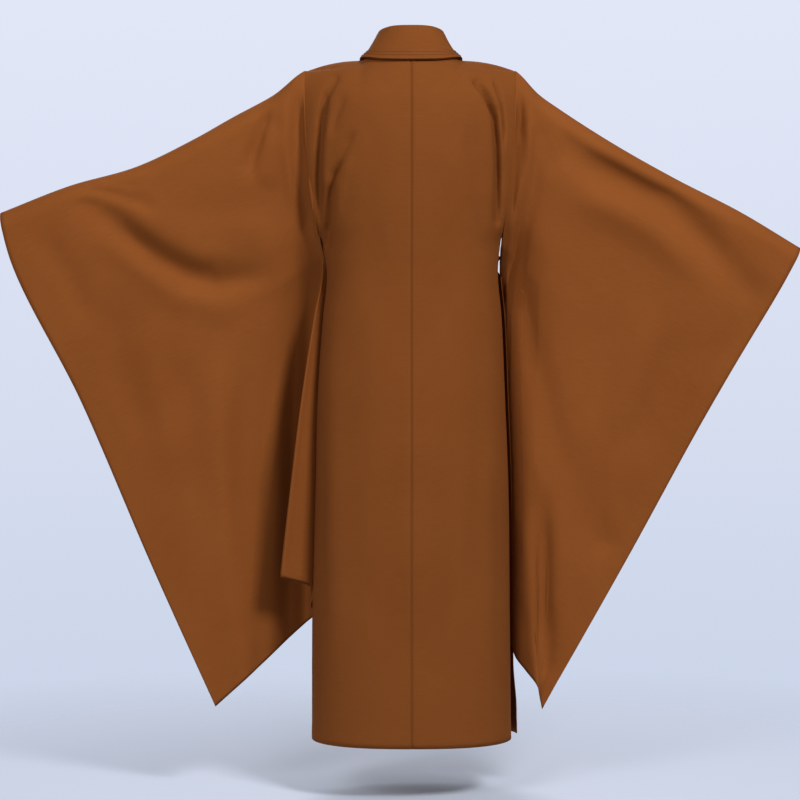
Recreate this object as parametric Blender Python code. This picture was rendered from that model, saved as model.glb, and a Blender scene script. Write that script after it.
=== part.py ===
"""Ceremonial robe of a Buddhist monk, worn and hollow, with the arms held out and down.

The back faces +Y and the left as worn is +X. The origin is where the robe hangs, midway
between the neck sides, at the height of the shoulder ridge. The robe is cut from two
back panels, an outer front that crosses over an inner one, two bag sleeves, a banded collar
with three plies at its foot, and a pair of ties at the right side. Each sleeve is in two
halves, its back and its front, which meet over the arm and at the bottom seam. Metres, +Z up.
"""

import bpy
import bmesh
import numpy as np

# Cloth
WALL = 0.0018
SEAM_GAP = 0.0003
PLY_WALL = 0.0010
WELD = 0.00002

# Heights, and drops below the shoulder
HEM_HEIGHT = -1.385
ARMPIT_HEIGHT = -0.367
SLIT_HEIGHT = -1.020
HIP_DROP = 0.600

# Shoulders and neck
NECK_HALF_WIDTH = 0.098
NECK_BACK_DEPTH = 0.078
NECK_BACK_DROP = 0.004
BACK_ROUNDING = 0.100
FRONT_ROUNDING = 0.140
SHOULDER_ROWS = (
    # distance from the middle, height of the ridge
    (0.098, 0.000),
    (0.143, -0.003),
    (0.179, -0.010),
    (0.216, -0.022),
)

# Body, a row to a level: height, left half width, right half width, back depth, front depth
BODY_ROWS = (
    (0.000, 0.216, 0.212, 0.098, 0.090),
    (-0.100, 0.215, 0.211, 0.126, 0.108),
    (-0.200, 0.211, 0.207, 0.134, 0.120),
    (-0.300, 0.200, 0.196, 0.130, 0.124),
    (-0.367, 0.185, 0.184, 0.123, 0.122),
    (-0.430, 0.173, 0.178, 0.118, 0.122),
    (-0.520, 0.180, 0.185, 0.117, 0.125),
    (-0.700, 0.191, 0.193, 0.126, 0.131),
    (-0.850, 0.196, 0.199, 0.134, 0.135),
    (-1.150, 0.2025, 0.2025, 0.141, 0.142),
    (-1.385, 0.2025, 0.2045, 0.146, 0.148),
)
SECTION_SQUARENESS = 2.6
SIDE_ROUNDNESS = 2.2
SIDE_ROUND_FROM = -0.30
SIDE_ROUND_REACH = 0.14
ARMHOLE_SLOPE = 1.0
ARMHOLE_HALF_DEPTH = 0.054
ARMHOLE_FULLNESS = 3.0

# Rows and columns of the panels
ROUND_ROWS = 6
CHEST_SHARES = (0.0, 0.2, 0.4, 0.58, 0.74, 0.88, 1.0)
WAIST_SPANS = 6
SKIRT_SPANS = 4
BACK_COLUMNS = 14
OUTER_COLUMNS = 16
INNER_COLUMNS = 10

# Deep soft creases beside the armholes, a row to a crease: depth, half breadth, then its course
# as across and height, from top to bottom
BACK_CREASES = (
    (0.011, 0.008, ((0.158, -0.043), (0.187, -0.168), (0.177, -0.264), (0.178, -0.350))),
    (0.010, 0.010, ((0.115, -0.168), (0.150, -0.226), (0.163, -0.293), (0.163, -0.380))),
    (0.010, 0.008, ((-0.146, -0.047), (-0.172, -0.115), (-0.174, -0.230), (-0.172, -0.330))),
    (0.003, 0.014, ((-0.119, -0.158), (-0.140, -0.262), (-0.142, -0.330))),
)
FRONT_CREASES = (
    (0.010, 0.009, ((0.150, -0.050), (0.180, -0.160), (0.172, -0.255), (0.170, -0.345))),
    (0.007, 0.012, ((0.105, -0.190), (0.142, -0.262), (0.156, -0.390))),
    (0.010, 0.009, ((-0.148, -0.045), (-0.176, -0.150), (-0.170, -0.250), (-0.168, -0.340))),
)

# A crease sinks towards the middle of the body, and leaves the sewn side edge alone
CREASE_LEAST_REACH = 0.05
SEWN_EDGE_POWER = 24

# Crossed fronts: height, and how far left of the middle the outer front's collar seam runs
CROSSING_ROWS = (
    (0.000, 0.098),
    (-0.040, 0.090),
    (-0.100, 0.058),
    (-0.200, -0.008),
    (-0.300, -0.078),
    (-0.380, -0.136),
    (-0.440, -0.176),
)
CROSSING_FOOT = -0.440
UNDERLAP = 0.0115
UNDERLAP_SHARE = 0.8
UNDERLAP_POWER = 8
INNER_EDGE = 0.090
OUTER_EDGE_SHARE = 0.985
OUTER_EVENNESS = 0.2
# How the panels part at the side slits
SLIT_REACH = 0.20
SLIT_POWER = 6
BACK_SLIT_SWELL = 0.003
FRONT_SLIT_SWELL = 0.006
SLIT_FLARE = 0.006
FLARE_HEIGHT = -1.235
FLARE_REACH = 0.10

# Sleeves. The top edge lies over the arm: share of its length, distance out, height
LEFT_ARM_ROWS = (
    (0.000, 0.2165, -0.022),
    (0.080, 0.265, -0.060),
    (0.220, 0.356, -0.111),
    (0.450, 0.497, -0.188),
    (0.630, 0.612, -0.237),
    (0.850, 0.746, -0.270),
    (1.000, 0.838, -0.312),
)
RIGHT_ARM_ROWS = (
    (0.000, 0.2125, -0.022),
    (0.080, 0.250, -0.060),
    (0.200, 0.317, -0.108),
    (0.480, 0.500, -0.220),
    (0.660, 0.605, -0.275),
    (0.850, 0.720, -0.336),
    (1.000, 0.795, -0.384),
)
# The open cuff: share of its length from the wrist down, distance out, height
LEFT_CUFF_ROWS = (
    (0.000, 0.838, -0.312),
    (0.080, 0.818, -0.393),
    (0.380, 0.674, -0.695),
    (0.700, 0.530, -1.032),
    (1.000, 0.400, -1.322),
)
RIGHT_CUFF_ROWS = (
    (0.000, 0.795, -0.384),
    (0.100, 0.748, -0.471),
    (0.340, 0.618, -0.695),
    (0.660, 0.446, -1.010),
    (1.000, 0.268, -1.327),
)
# The slack inner end of each bag folds beside the body. A row to a fold line, from the sewn
# edge outwards: share of the arm, then at the armpit how far off the body's side and its
# depth, then the same at the bottom seam, the drop from the armpit to the bottom seam, and how
# soon below the armpit it takes up its place across and in depth
LEFT_FOLD_ROWS = (
    (0.000, 0.0026, 0.000, 0.0640, 0.058, 0.686, 1, 3),
    (0.030, 0.0120, -0.006, 0.0130, 0.046, 0.722, 5, 3),
    (0.060, 0.0200, -0.013, 0.0125, -0.010, 0.748, 5, 3),
    (0.090, 0.0300, -0.018, 0.0040, -0.072, 0.775, 5, 3),
    (0.120, 0.0430, -0.019, 0.0180, -0.100, 0.796, 5, 3),
    (0.160, 0.0620, -0.015, 0.0480, -0.082, 0.822, 5, 3),
    (0.220, 0.0950, -0.006, 0.0880, -0.040, 0.858, 5, 3),
)
RIGHT_FOLD_ROWS = (
    (0.000, 0.0026, 0.000, 0.0600, -0.138, 0.720, 2, 5),
    (0.030, 0.0140, -0.010, 0.0180, -0.156, 0.765, 5, 3),
    (0.060, 0.0240, -0.016, 0.0020, -0.114, 0.805, 5, 3),
    (0.090, 0.0330, -0.018, 0.0185, -0.055, 0.838, 5, 3),
    (0.120, 0.0440, -0.012, 0.0190, -0.004, 0.860, 5, 3),
    (0.160, 0.0580, 0.002, 0.0350, 0.032, 0.884, 5, 3),
    (0.220, 0.0850, 0.004, 0.0520, 0.018, 0.918, 5, 3),
)
FOLD_SLANT = 0.42
OUTER_STATIONS = (0.36, 0.55, 0.77, 1.0)
CUFF_SET_BACK = 0.008
SET_BACK_FADE = 0.4
FOLD_PLACES = (0.0, 0.4, 0.75, 1.0, 1.25, 1.7, 2.3, 3.0, 3.5, 3.85, 4.15, 4.6, 5.2)
ARM_HALF_DEPTH = 0.050
WRIST_HALF_DEPTH = 0.040
BAG_LENGTH = 1.080
ARMPIT_SHARE = 0.335
# How full the bag is below the arm: share of its length, share of the arm's half depth
FULLNESS_ROWS = (
    (0.000, 1.000),
    (0.100, 1.000),
    (0.200, 0.720),
    (0.400, 0.420),
    (0.700, 0.260),
    (1.000, 0.100),
)
FOLD_HALF_DEPTH = 0.0014
FOLD_START_PLACE = 0.5
ARMHOLE_PLACES = 4
SLACK_PLACES = (5, 8)
LAST_PLACE = 10
SEAM_ROUNDING = 0.060
LOWER_BLEND = 0.06
SPREAD_LEAST = 0.6
SPREAD_REACH = 0.4
TURN_REACH = 0.08
TURN_STEP = 0.05
BAG_SPANS = 9
BAG_CROWDING = 1.5
BAG_FOOT_SHARES = (0.95, 0.985, 1.0)
CUFF_COLUMNS = 8

# Long soft folds of the sleeves, a row to a fold: depth, half breadth, course out and down.
# They fade at the bag's top, foot and inner end, and are shallower on its front layer
FOLD_FADE_PLACES = (4.5, 6.0)
FOLD_FADE_TOP = 0.05
FOLD_FADE_FOOT = 0.08
FRONT_FOLD_SHARE = 0.7
LEFT_SLEEVE_FOLDS = (
    (0.010, 0.022, ((0.660, -0.287), (0.592, -0.349), (0.506, -0.420), (0.394, -0.460),
                    (0.300, -0.440))),
    (0.006, 0.016, ((0.293, -0.121), (0.326, -0.220))),
    (-0.006, 0.024, ((0.560, -0.300), (0.440, -0.350), (0.330, -0.350))),
)
RIGHT_SLEEVE_FOLDS = (
    (0.010, 0.026, ((0.318, -0.189), (0.517, -0.293), (0.674, -0.461))),
    (0.009, 0.020, ((0.203, -0.461), (0.246, -0.597), (0.287, -0.742), (0.392, -0.984))),
    (0.012, 0.016, ((0.262, -0.860), (0.270, -1.040), (0.270, -1.240))),
)

# Collar, a row to a station of its left half, from the back of the neck to the front: distance
# from the middle and height of the sewn foot, then of the free edge, the free edge's depth
# where it stands, and the share of it that lies flat on the front
COLLAR_ROWS = (
    (0.000, -0.004, 0.004, 0.068, 0.056, 0.0),
    (0.058, -0.002, 0.042, 0.068, 0.040, 0.0),
    (0.086, 0.000, 0.062, 0.062, 0.012, 0.0),
    (0.098, 0.000, 0.064, 0.050, -0.014, 0.0),
    (0.0955, -0.018, 0.056, 0.030, -0.034, 0.1),
    (0.090, -0.040, 0.046, 0.006, -0.050, 0.2),
    (0.076, -0.070, 0.028, -0.025, -0.068, 0.6),
    (0.058, -0.100, 0.006, -0.056, -0.082, 0.9),
    (-0.008, -0.200, -0.061, -0.162, 0.000, 1.0),
    (-0.078, -0.300, -0.130, -0.261, 0.000, 1.0),
    (-0.136, -0.380, -0.172, -0.326, 0.000, 1.0),
)
COLLAR_WIDTH = 0.066
COLLAR_LENGTH_STEPS = 3
FOOT_SHARE = 0.020
FOOT_OVERLAP = 0.060
COLLAR_LIFT = 0.0040
COLLAR_MIDDLE_SHARE = 0.68
BACK_FOOT_HEIGHT = -0.005
LYING_HEIGHT = -0.03
LYING_HASTE = 1.2
PLY_STEP = 0.008
PLY_GAP = 0.0004
PLY_NAMES = ("collar_ply_long", "collar_ply_middle", "collar_ply_short")
INNER_COLLAR_END = 9
OUTER_COLLAR_END = 10

# Ties at the right side, which hold the outer front shut. A row to a tape: the layer it lies in
# and its course across and down, from its sewn end to its tail
TIE_WIDTH = 0.012
TIE_WALL = 0.0012
TIE_GAP = 0.0004
TIE_LIFT = 0.0008
TIES = (
    ("tie_front", 1, ((-0.157, -0.375), (-0.160, -0.396), (-0.163, -0.420), (-0.158, -0.500),
                      (-0.160, -0.590))),
    ("tie_side", 2, ((-0.179, -0.396), (-0.172, -0.406), (-0.163, -0.420), (-0.170, -0.480),
                     (-0.174, -0.560))),
)
TIE_WRAP = (-0.163, -0.420)
WRAP_HALF_WIDTH = 0.011
WRAP_HALF_LENGTH = 0.006
WRAP_HEIGHT = 0.0040
WRAP_COLUMNS = 9
TAPE_SPANS = 3
NORMAL_STEP = 0.002

# Finish
BROWN = (0.165, 0.052, 0.017, 1.0)
CLOTH_ROUGHNESS = 0.85


def ease(share):
    """A smooth step from 0 to 1."""
    share = np.clip(share, 0.0, 1.0)
    return share * share * (3.0 - 2.0 * share)


def read(rows, column, place):
    """One column of a table at some places in its first column, on a smooth curve."""
    table = np.array([row[:column + 1] for row in rows], dtype=float)
    if table[0, 0] > table[-1, 0]:
        table = table[::-1]
    knots, values = table[:, 0], table[:, column]
    steps = np.diff(knots)
    rises = np.diff(values) / steps
    slopes = np.empty(len(knots))
    slopes[0], slopes[-1] = rises[0], rises[-1]
    slopes[1:-1] = (rises[:-1] * steps[1:] + rises[1:] * steps[:-1]) / (steps[:-1] + steps[1:])
    place = np.clip(place, knots[0], knots[-1])
    k = np.clip(np.searchsorted(knots, place, side="right") - 1, 0, len(steps) - 1)
    h = steps[k]
    t = (place - knots[k]) / h
    return (values[k] * (1 + 2 * t) * (1 - t) ** 2 + slopes[k] * h * t * (1 - t) ** 2
            + values[k + 1] * t * t * (3 - 2 * t) + slopes[k + 1] * h * t * t * (t - 1))


def follow(stations, place):
    """Points on the smooth curve through some stations, at places counted in stations."""
    stations = np.asarray(stations, dtype=float)
    hops = np.maximum(np.linalg.norm(np.diff(stations, axis=0), axis=-1, keepdims=True), 1e-6)
    rises = np.diff(stations, axis=0) / hops
    slopes = np.empty_like(stations)
    slopes[0], slopes[-1] = rises[0], rises[-1]
    slopes[1:-1] = (rises[:-1] * hops[1:] + rises[1:] * hops[:-1]) / (hops[:-1] + hops[1:])
    k = min(int(place), len(stations) - 2)
    t = place - k
    h = hops[k]
    return (stations[k] * (1 + 2 * t) * (1 - t) ** 2 + slopes[k] * h * t * (1 - t) ** 2
            + stations[k + 1] * t * t * (3 - 2 * t) + slopes[k + 1] * h * t * t * (t - 1))


def crease_depth(creases, across, height):
    """How deep the creases of a table are at some places."""
    total = np.zeros_like(across)
    for depth, breadth, course in creases:
        nearest = np.full_like(across, 1e9)
        for (x0, z0), (x1, z1) in zip(course[:-1], course[1:]):
            length = (x1 - x0) ** 2 + (z1 - z0) ** 2
            along = np.clip(((across - x0) * (x1 - x0) + (height - z0) * (z1 - z0)) / length, 0, 1)
            gap = (across - x0 - along * (x1 - x0)) ** 2 + (height - z0 - along * (z1 - z0)) ** 2
            nearest = np.minimum(nearest, gap)
        total = total + depth * np.exp(-nearest / (2 * breadth * breadth))
    return total


def ridge_height(across):
    """Height of the shoulder ridge."""
    return read(SHOULDER_ROWS, 1, np.abs(across))


def half_width(height, side):
    """Half width of the body on the left, side 1, or the right, side -1."""
    return read(BODY_ROWS, 1 if side > 0 else 2, height)


def armhole_half_depth(height):
    """Half depth of the oval armhole, nothing at the shoulder tip and at the armpit."""
    top = SHOULDER_ROWS[-1][1]
    middle, reach = (top + ARMPIT_HEIGHT) / 2, (top - ARMPIT_HEIGHT) / 2
    off = np.abs((height - middle) / reach)
    return ARMHOLE_HALF_DEPTH * np.clip(1 - off ** ARMHOLE_FULLNESS, 0, 1) ** (1 / ARMHOLE_FULLNESS)


def section_fall(share, height):
    """How far the section has rounded off from the middle, share 0, to the side, share 1."""
    below = ease((SIDE_ROUND_FROM - height) / SIDE_ROUND_REACH)
    roundness = ARMHOLE_SLOPE + (SIDE_ROUNDNESS - ARMHOLE_SLOPE) * below
    return np.clip(1 - np.abs(share) ** SECTION_SQUARENESS, 0, 1) ** (1 / roundness)


def top_rounding(drop, reach):
    """Share of the full depth that the body has a drop below the shoulder ridge."""
    return np.sqrt(1 - (1 - np.clip(drop / reach, 0, 1)) ** 2)


def body_depth(across_share, across, height, face, under=0.0):
    """Depth of the body's surface, the back for face 1 and the front for face -1."""
    edge = armhole_half_depth(height)
    fall = section_fall(across_share, height)
    neck = np.zeros_like(across)
    if face > 0:
        top = ridge_height(across)
        neck = NECK_BACK_DEPTH * np.sqrt(np.clip(1 - (across / NECK_HALF_WIDTH) ** 2, 0, 1))
        rise = top_rounding(top - height, BACK_ROUNDING)
        full = read(BODY_ROWS, 3, height)
    else:
        rise = top_rounding(ridge_height(across) - height, FRONT_ROUNDING)
        full = read(BODY_ROWS, 4, height) - under
    return face * (edge + (neck * (1 - rise) + full * rise - edge) * fall)


def body_levels():
    """Drops below the shoulder of the rows of a body panel."""
    turn = np.linspace(0, np.pi / 2, ROUND_ROWS)[:-1]
    top = BACK_ROUNDING * (1 - np.cos(turn))
    chest = BACK_ROUNDING + (-ARMPIT_HEIGHT - BACK_ROUNDING) * np.array(CHEST_SHARES)
    waist = np.linspace(-ARMPIT_HEIGHT, HIP_DROP, WAIST_SPANS + 1)[1:]
    skirt = np.linspace(HIP_DROP, -SLIT_HEIGHT, SKIRT_SPANS + 1)[1:]
    foot = np.linspace(-SLIT_HEIGHT, -HEM_HEIGHT, SKIRT_SPANS + 1)[1:]
    return np.concatenate([top, chest, waist, skirt, foot])


def pull(points, creases):
    """Sinks creases into a panel, towards the middle of the body."""
    depth = crease_depth(creases, points[..., 0], points[..., 2])
    away = np.linalg.norm(points[..., :2], axis=-1)
    points[..., :2] *= (1 - depth / np.maximum(away, CREASE_LEAST_REACH))[..., None]
    return points


def shoulder_line(across, drop):
    """Height of a row of a panel, which follows the shoulder ridge at the top."""
    top = ridge_height(across)
    inside = np.clip(np.abs(across) / NECK_HALF_WIDTH, 0, 1)
    top = top - NECK_BACK_DROP * (1 - inside ** 2)
    return top * np.clip(1 - drop / BACK_ROUNDING, 0, 1) ** 2 - drop


def back_points(side):
    """Net of a back panel, from the centre seam to the armhole and side seam."""
    turn = np.linspace(0, np.pi / 2, BACK_COLUMNS + 1)
    share, drop = np.meshgrid(np.sin(turn), body_levels())
    top_across = share * half_width(0.0, side)
    height = shoulder_line(top_across, drop)
    across = share * half_width(height, side)
    depth = body_depth(share, across, height, 1)
    slit = ease((SLIT_HEIGHT - height) / SLIT_REACH) * share ** SLIT_POWER
    depth = depth + SEAM_GAP / 2 + BACK_SLIT_SWELL * slit
    across = across + SEAM_GAP / 2 * (1 - share)
    points = np.stack([side * across, depth, height], axis=-1)
    return pull_keeping_edges(points, BACK_CREASES, share)


def pull_keeping_edges(points, creases, share):
    """Sinks creases into a panel but leaves its side edge where it is sewn."""
    sewn = points.copy()
    pulled = pull(points, creases)
    keep = np.abs(share)[..., None] ** SEWN_EDGE_POWER
    return pulled * (1 - keep) + sewn * keep


def crossing(height):
    """Distance left of the middle of the outer front's collar seam."""
    return read(CROSSING_ROWS, 1, height)


def front_points(side, columns):
    """Net of a front, from its armhole and side seam to its collar seam and free edge.

    The outer front is sewn at the left, side 1, and the inner one at the right, side -1.
    """
    outer = side > 0
    part, drop = np.meshgrid(np.linspace(0, 1, columns + 1), body_levels())
    near_width, far_width = half_width(-drop, side), half_width(-drop, -side)
    if outer:
        side_edge = -OUTER_EDGE_SHARE * far_width
        free = np.where(-drop > CROSSING_FOOT, np.maximum(crossing(-drop), side_edge), side_edge)
        spacing = ease(part) * (1 - OUTER_EVENNESS) + part * OUTER_EVENNESS
    else:
        free = np.maximum(crossing(-drop), -INNER_EDGE)
        spacing = 1 - np.cos(part * np.pi / 2)
    level_across = near_width + (free - near_width) * spacing
    share = level_across / np.where(level_across > 0, near_width, far_width)
    height = shoulder_line(share * half_width(0.0, side), drop)
    across = share * np.where(share > 0, half_width(height, side), half_width(height, -side))
    under = 0.0 if outer else UNDERLAP * (1 - share ** UNDERLAP_POWER)
    depth = body_depth(share, across, height, -1, under)
    slit = ease((SLIT_HEIGHT - height) / SLIT_REACH)
    near = np.abs(np.clip(share, -1, 1)) ** SLIT_POWER
    depth = depth - SEAM_GAP / 2 - FRONT_SLIT_SWELL * slit * near
    if outer:
        flare = SLIT_FLARE * ease((FLARE_HEIGHT - height) / FLARE_REACH)
        across = across - (UNDERLAP + flare) * ease(-share / UNDERLAP_SHARE)
    points = np.stack([side * across, depth, height], axis=-1)
    return pull_keeping_edges(points, FRONT_CREASES, np.clip(share, 0, 1))


def sleeve_stations(side, share):
    """Stations of one level of a sleeve's middle layer, from its sewn edge to the cuff."""
    arm = LEFT_ARM_ROWS if side > 0 else RIGHT_ARM_ROWS
    cuff = LEFT_CUFF_ROWS if side > 0 else RIGHT_CUFF_ROWS
    folds = LEFT_FOLD_ROWS if side > 0 else RIGHT_FOLD_ROWS
    cuff_x, cuff_z = read(cuff, 1, share), read(cuff, 2, share)
    lower = max(share - ARMPIT_SHARE, 0.0) / (1 - ARMPIT_SHARE)
    upper = min(share / ARMPIT_SHARE, 1.0)
    stations = []
    for arm_share, off_top, depth_top, off_foot, depth_foot, drop, haste_out, haste_in in folds:
        top_x, top_z = read(arm, 1, arm_share), read(arm, 2, arm_share)
        if lower > 0:
            height = ARMPIT_HEIGHT - drop * lower - (arm_share * FOLD_SLANT) * (1 - lower)
            off = off_top + (off_foot - off_top) * (1 - (1 - lower) ** haste_out)
            x = half_width(height, side) + off
            y = depth_top + (depth_foot - depth_top) * (1 - (1 - lower) ** haste_in)
        else:
            foot_z = ARMPIT_HEIGHT - arm_share * FOLD_SLANT
            height = top_z + (foot_z - top_z) * upper
            foot_x = half_width(foot_z, side) + off_top
            hang = half_width(height, side) - half_width(foot_z, side)
            x = top_x + (foot_x - top_x) * upper
            if arm_share == 0:
                x = half_width(height, side) + SEAM_GAP + (off_top - SEAM_GAP) * upper ** 6
            else:
                x = x + hang * upper * (1 - upper)
            y = depth_top * upper ** 2
        stations.append((x, y, height))
    last_x, last_y, last_z = stations[-1]
    start = folds[-1][0]
    for arm_share in OUTER_STATIONS:
        part = (arm_share - start) / (1 - start)
        line_x = last_x + (cuff_x - last_x) * part
        line_z = last_z + (cuff_z - last_z) * part
        top_x, top_z = read(arm, 1, arm_share), read(arm, 2, arm_share)
        first_x, first_z = read(arm, 1, start), read(arm, 2, start)
        chord_x = first_x + (read(arm, 1, 1.0) - first_x) * part
        chord_z = first_z + (read(arm, 2, 1.0) - first_z) * part
        near_arm = (1 - share) ** 3
        x = line_x + (top_x - chord_x) * near_arm
        z = line_z + (top_z - chord_z) * near_arm
        y = last_y * (1 - ease(part / SET_BACK_FADE)) + CUFF_SET_BACK * ease(part)
        stations.append((x, y, z))
    return np.array(stations)


def sleeve_half_depth(side, share, place, height):
    """Half the distance between a sleeve's back and front layers."""
    arm_radius = ARM_HALF_DEPTH + (WRIST_HALF_DEPTH - ARM_HALF_DEPTH) * place / LAST_PLACE
    down = share * BAG_LENGTH
    round_top = np.sqrt(1 - (1 - min(down / arm_radius, 1.0)) ** 2)
    round_foot = np.sqrt(min((1 - share) * BAG_LENGTH / SEAM_ROUNDING, 1.0))
    main = arm_radius * round_top * read(FULLNESS_ROWS, 1, share) * round_foot
    at_edge = armhole_half_depth(height) if share < ARMPIT_SHARE else 0.0
    lower_share = ease((share - ARMPIT_SHARE) / LOWER_BLEND + 1)
    spread = SPREAD_LEAST + (1 - SPREAD_LEAST) * ease((share - ARMPIT_SHARE) / SPREAD_REACH)
    slack = FOLD_HALF_DEPTH * min(place / FOLD_START_PLACE, 1.0) * round_foot * spread
    first, last = SLACK_PLACES
    lower = slack + (main - slack) * ease((place - first) / (last - first))
    inner = main * (1 - lower_share) + lower * lower_share
    half = max(at_edge + (inner - at_edge) * ease(place / ARMHOLE_PLACES), slack * lower_share)
    return max(half, SEAM_GAP / 2)


def sleeve_levels():
    """Shares of the bag's length at the rows of a sleeve, from the arm to the bottom seam."""
    tip_across, tip = SHOULDER_ROWS[-1]
    drops = body_levels()
    heights = shoulder_line(tip_across, drops[drops <= -ARMPIT_HEIGHT])
    upper = ARMPIT_SHARE * (tip - heights) / (tip - ARMPIT_HEIGHT)
    part = np.arange(1, BAG_SPANS + 1) / BAG_SPANS
    lower = ARMPIT_SHARE + (BAG_FOOT_SHARES[0] - ARMPIT_SHARE) * part ** BAG_CROWDING
    return np.concatenate([upper, lower, BAG_FOOT_SHARES[1:]])


def sleeve_places():
    """Where the columns of a sleeve lie, counted in stations."""
    return np.concatenate([FOLD_PLACES, np.linspace(6, LAST_PLACE, CUFF_COLUMNS)])


def sleeve_points(side):
    """Nets of a sleeve's back and front halves, each from over the arm to the bottom seam."""
    places = sleeve_places()
    layers = {1: [], -1: []}
    folds = LEFT_SLEEVE_FOLDS if side > 0 else RIGHT_SLEEVE_FOLDS
    for share in sleeve_levels():
        stations = sleeve_stations(side, share)
        middle = np.array([follow(stations, place) for place in places])
        ahead = np.array([follow(stations, min(place + TURN_STEP, LAST_PLACE)) for place in places])
        behind = np.array([follow(stations, max(place - TURN_STEP, 0)) for place in places])
        run = (ahead - behind)[:, :2]
        run /= np.linalg.norm(run, axis=1, keepdims=True)
        level = 1 - ease((share - ARMPIT_SHARE) / TURN_REACH)
        run = run * (1 - level) + np.array((1.0, 0.0)) * level
        half = np.array([sleeve_half_depth(side, share, place, point[2])
                         for place, point in zip(places, middle)])
        sunk = crease_depth(folds, middle[:, 0], middle[:, 2])
        first, last = FOLD_FADE_PLACES
        sunk *= ease((places - first) / (last - first))
        sunk *= min((1 - share) / FOLD_FADE_FOOT, 1.0) * min(share / FOLD_FADE_TOP, 1.0)
        for layer in layers:
            offset = layer * half - sunk * (1.0 if layer > 0 else FRONT_FOLD_SHARE)
            points = middle.copy()
            points[:, 0] += -run[:, 1] * offset
            points[:, 1] += run[:, 0] * offset
            layers[layer].append(points)
    halves = [np.array(layers[1]), np.array(layers[-1])]
    for net in halves:
        net[..., 0] *= side
    return halves


def collar_lines(side, outer):
    """Foot and free edge of half the collar, from the back of the neck to its front end."""
    feet, edges = [], []
    last = OUTER_COLLAR_END if outer else INNER_COLLAR_END
    for foot_x, foot_z, edge_x, edge_z, stand, flat in COLLAR_ROWS[:last + 1]:
        on_back = foot_z > BACK_FOOT_HEIGHT
        feet.append((side * foot_x - lap_shift(side * foot_x, foot_z, outer),
                     surface(side * foot_x, foot_z, on_back, outer), foot_z))
        lying = surface(side * edge_x, min(edge_z, LYING_HEIGHT), False, outer)
        edges.append((side * edge_x - lap_shift(side * edge_x, edge_z, outer),
                      stand * (1 - flat) + lying * flat, edge_z))
        reach = np.array(edges[-1]) - np.array(feet[-1])
        feet[-1] = np.array(feet[-1]) - FOOT_OVERLAP * flat * reach
    return np.hstack([feet, edges])


def lap_shift(x, z, outer):
    """How far past the body's right side the outer front and its collar stand."""
    return UNDERLAP * float(ease(-x / half_width(z, -1) / UNDERLAP_SHARE)) if outer else 0.0


def surface(x, z, on_back, outer):
    """Depth of the body's outer surface at a place of the collar."""
    x, z = np.array([x]), np.array([z])
    share = x / half_width(z, 1 if x[0] > 0 else -1)
    return float(body_depth(share, x, z, 1 if on_back else -1, 0.0 if outer else UNDERLAP)[0])


def collar_net(shares):
    """Net of the collar at some shares of its width, and the way out from it at each point."""
    lines = np.concatenate([collar_lines(1, True)[::-1], collar_lines(-1, False)[1:]])
    spots = np.arange(0, len(lines) - 1 + 1e-9, 1 / COLLAR_LENGTH_STEPS)
    lines = np.array([follow(lines, spot) for spot in spots])
    shares = np.array(shares)[:, None, None]
    net = lines[:, :3] * (1 - shares) + lines[:, 3:] * shares
    lies = [row[-1] for row in COLLAR_ROWS]
    for row in net:
        for spot, point in zip(spots - OUTER_COLLAR_END, row):
            outer = spot < 0
            shift = lap_shift(point[0], point[2], outer)
            lying = surface(point[0] + shift, min(point[2], LYING_HEIGHT), False, outer)
            share = np.interp(abs(spot), range(len(lies)), lies)
            point[1] += (lying - point[1]) * ease(share * LYING_HASTE)
    pull(net, FRONT_CREASES)
    out = np.cross(np.gradient(net, axis=1), np.gradient(net, axis=0))
    out /= np.linalg.norm(out, axis=-1, keepdims=True)
    return net, out


def cloth(name, points, wall, flip=False, keep=None):
    """A closed wall of cloth on a net of points, welded where the net meets itself.

    The wall grows along the net's normals, or against them where it is negative. keep brings
    points of the wall's far side back to the piece's own side of its seams.
    """
    rows, columns = points.shape[:2]
    net = bmesh.new()
    bmesh.ops.create_grid(net, x_segments=columns - 1, y_segments=rows - 1, size=0.5)
    for vert in net.verts:
        column = round((vert.co.x + 0.5) * (columns - 1))
        row = round((vert.co.y + 0.5) * (rows - 1))
        vert.co = points[row, column]
    bmesh.ops.remove_doubles(net, verts=net.verts, dist=WELD)
    if flip:
        bmesh.ops.reverse_faces(net, faces=net.faces)
    net.normal_update()
    near = list(net.verts)
    rims = [tuple(edge.verts) for edge in net.edges if edge.is_boundary]
    whole = net.verts[:] + net.edges[:] + net.faces[:]
    far = bmesh.ops.duplicate(net, geom=whole)["vert_map"]
    for vert in near:
        place = vert.co + vert.normal * wall
        far[vert].co = keep(place) if keep else place
    for first, second in rims:
        net.faces.new((first, second, far[second], far[first]))
    bmesh.ops.recalc_face_normals(net, faces=net.faces)
    mesh = bpy.data.meshes.new(name)
    net.to_mesh(mesh)
    net.free()
    mesh.shade_smooth()
    mesh.materials.append(brown_cloth(name))
    return bpy.data.objects.new(name, mesh)


def own_side(side, face):
    """Keeps a panel's wall behind or before the shoulder and side seams, and off the middle."""
    def keep(place):
        if face > 0:
            place.x = side * max(side * place.x, SEAM_GAP / 2)
        place.y = face * max(face * place.y, SEAM_GAP / 2)
        return place
    return keep


def brown_cloth(name):
    """The robe's matt brown cloth, one material to a piece."""
    material = bpy.data.materials.new(name + "_cloth")
    material.use_nodes = True
    shader = material.node_tree.nodes["Principled BSDF"]
    shader.inputs["Base Color"].default_value = BROWN
    shader.inputs["Roughness"].default_value = CLOTH_ROUGHNESS
    shader.inputs["Metallic"].default_value = 0.0
    return material


def back_panels():
    return [cloth("back_left", back_points(1), -WALL, keep=own_side(1, 1)),
            cloth("back_right", back_points(-1), -WALL, flip=True, keep=own_side(-1, 1))]


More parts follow.
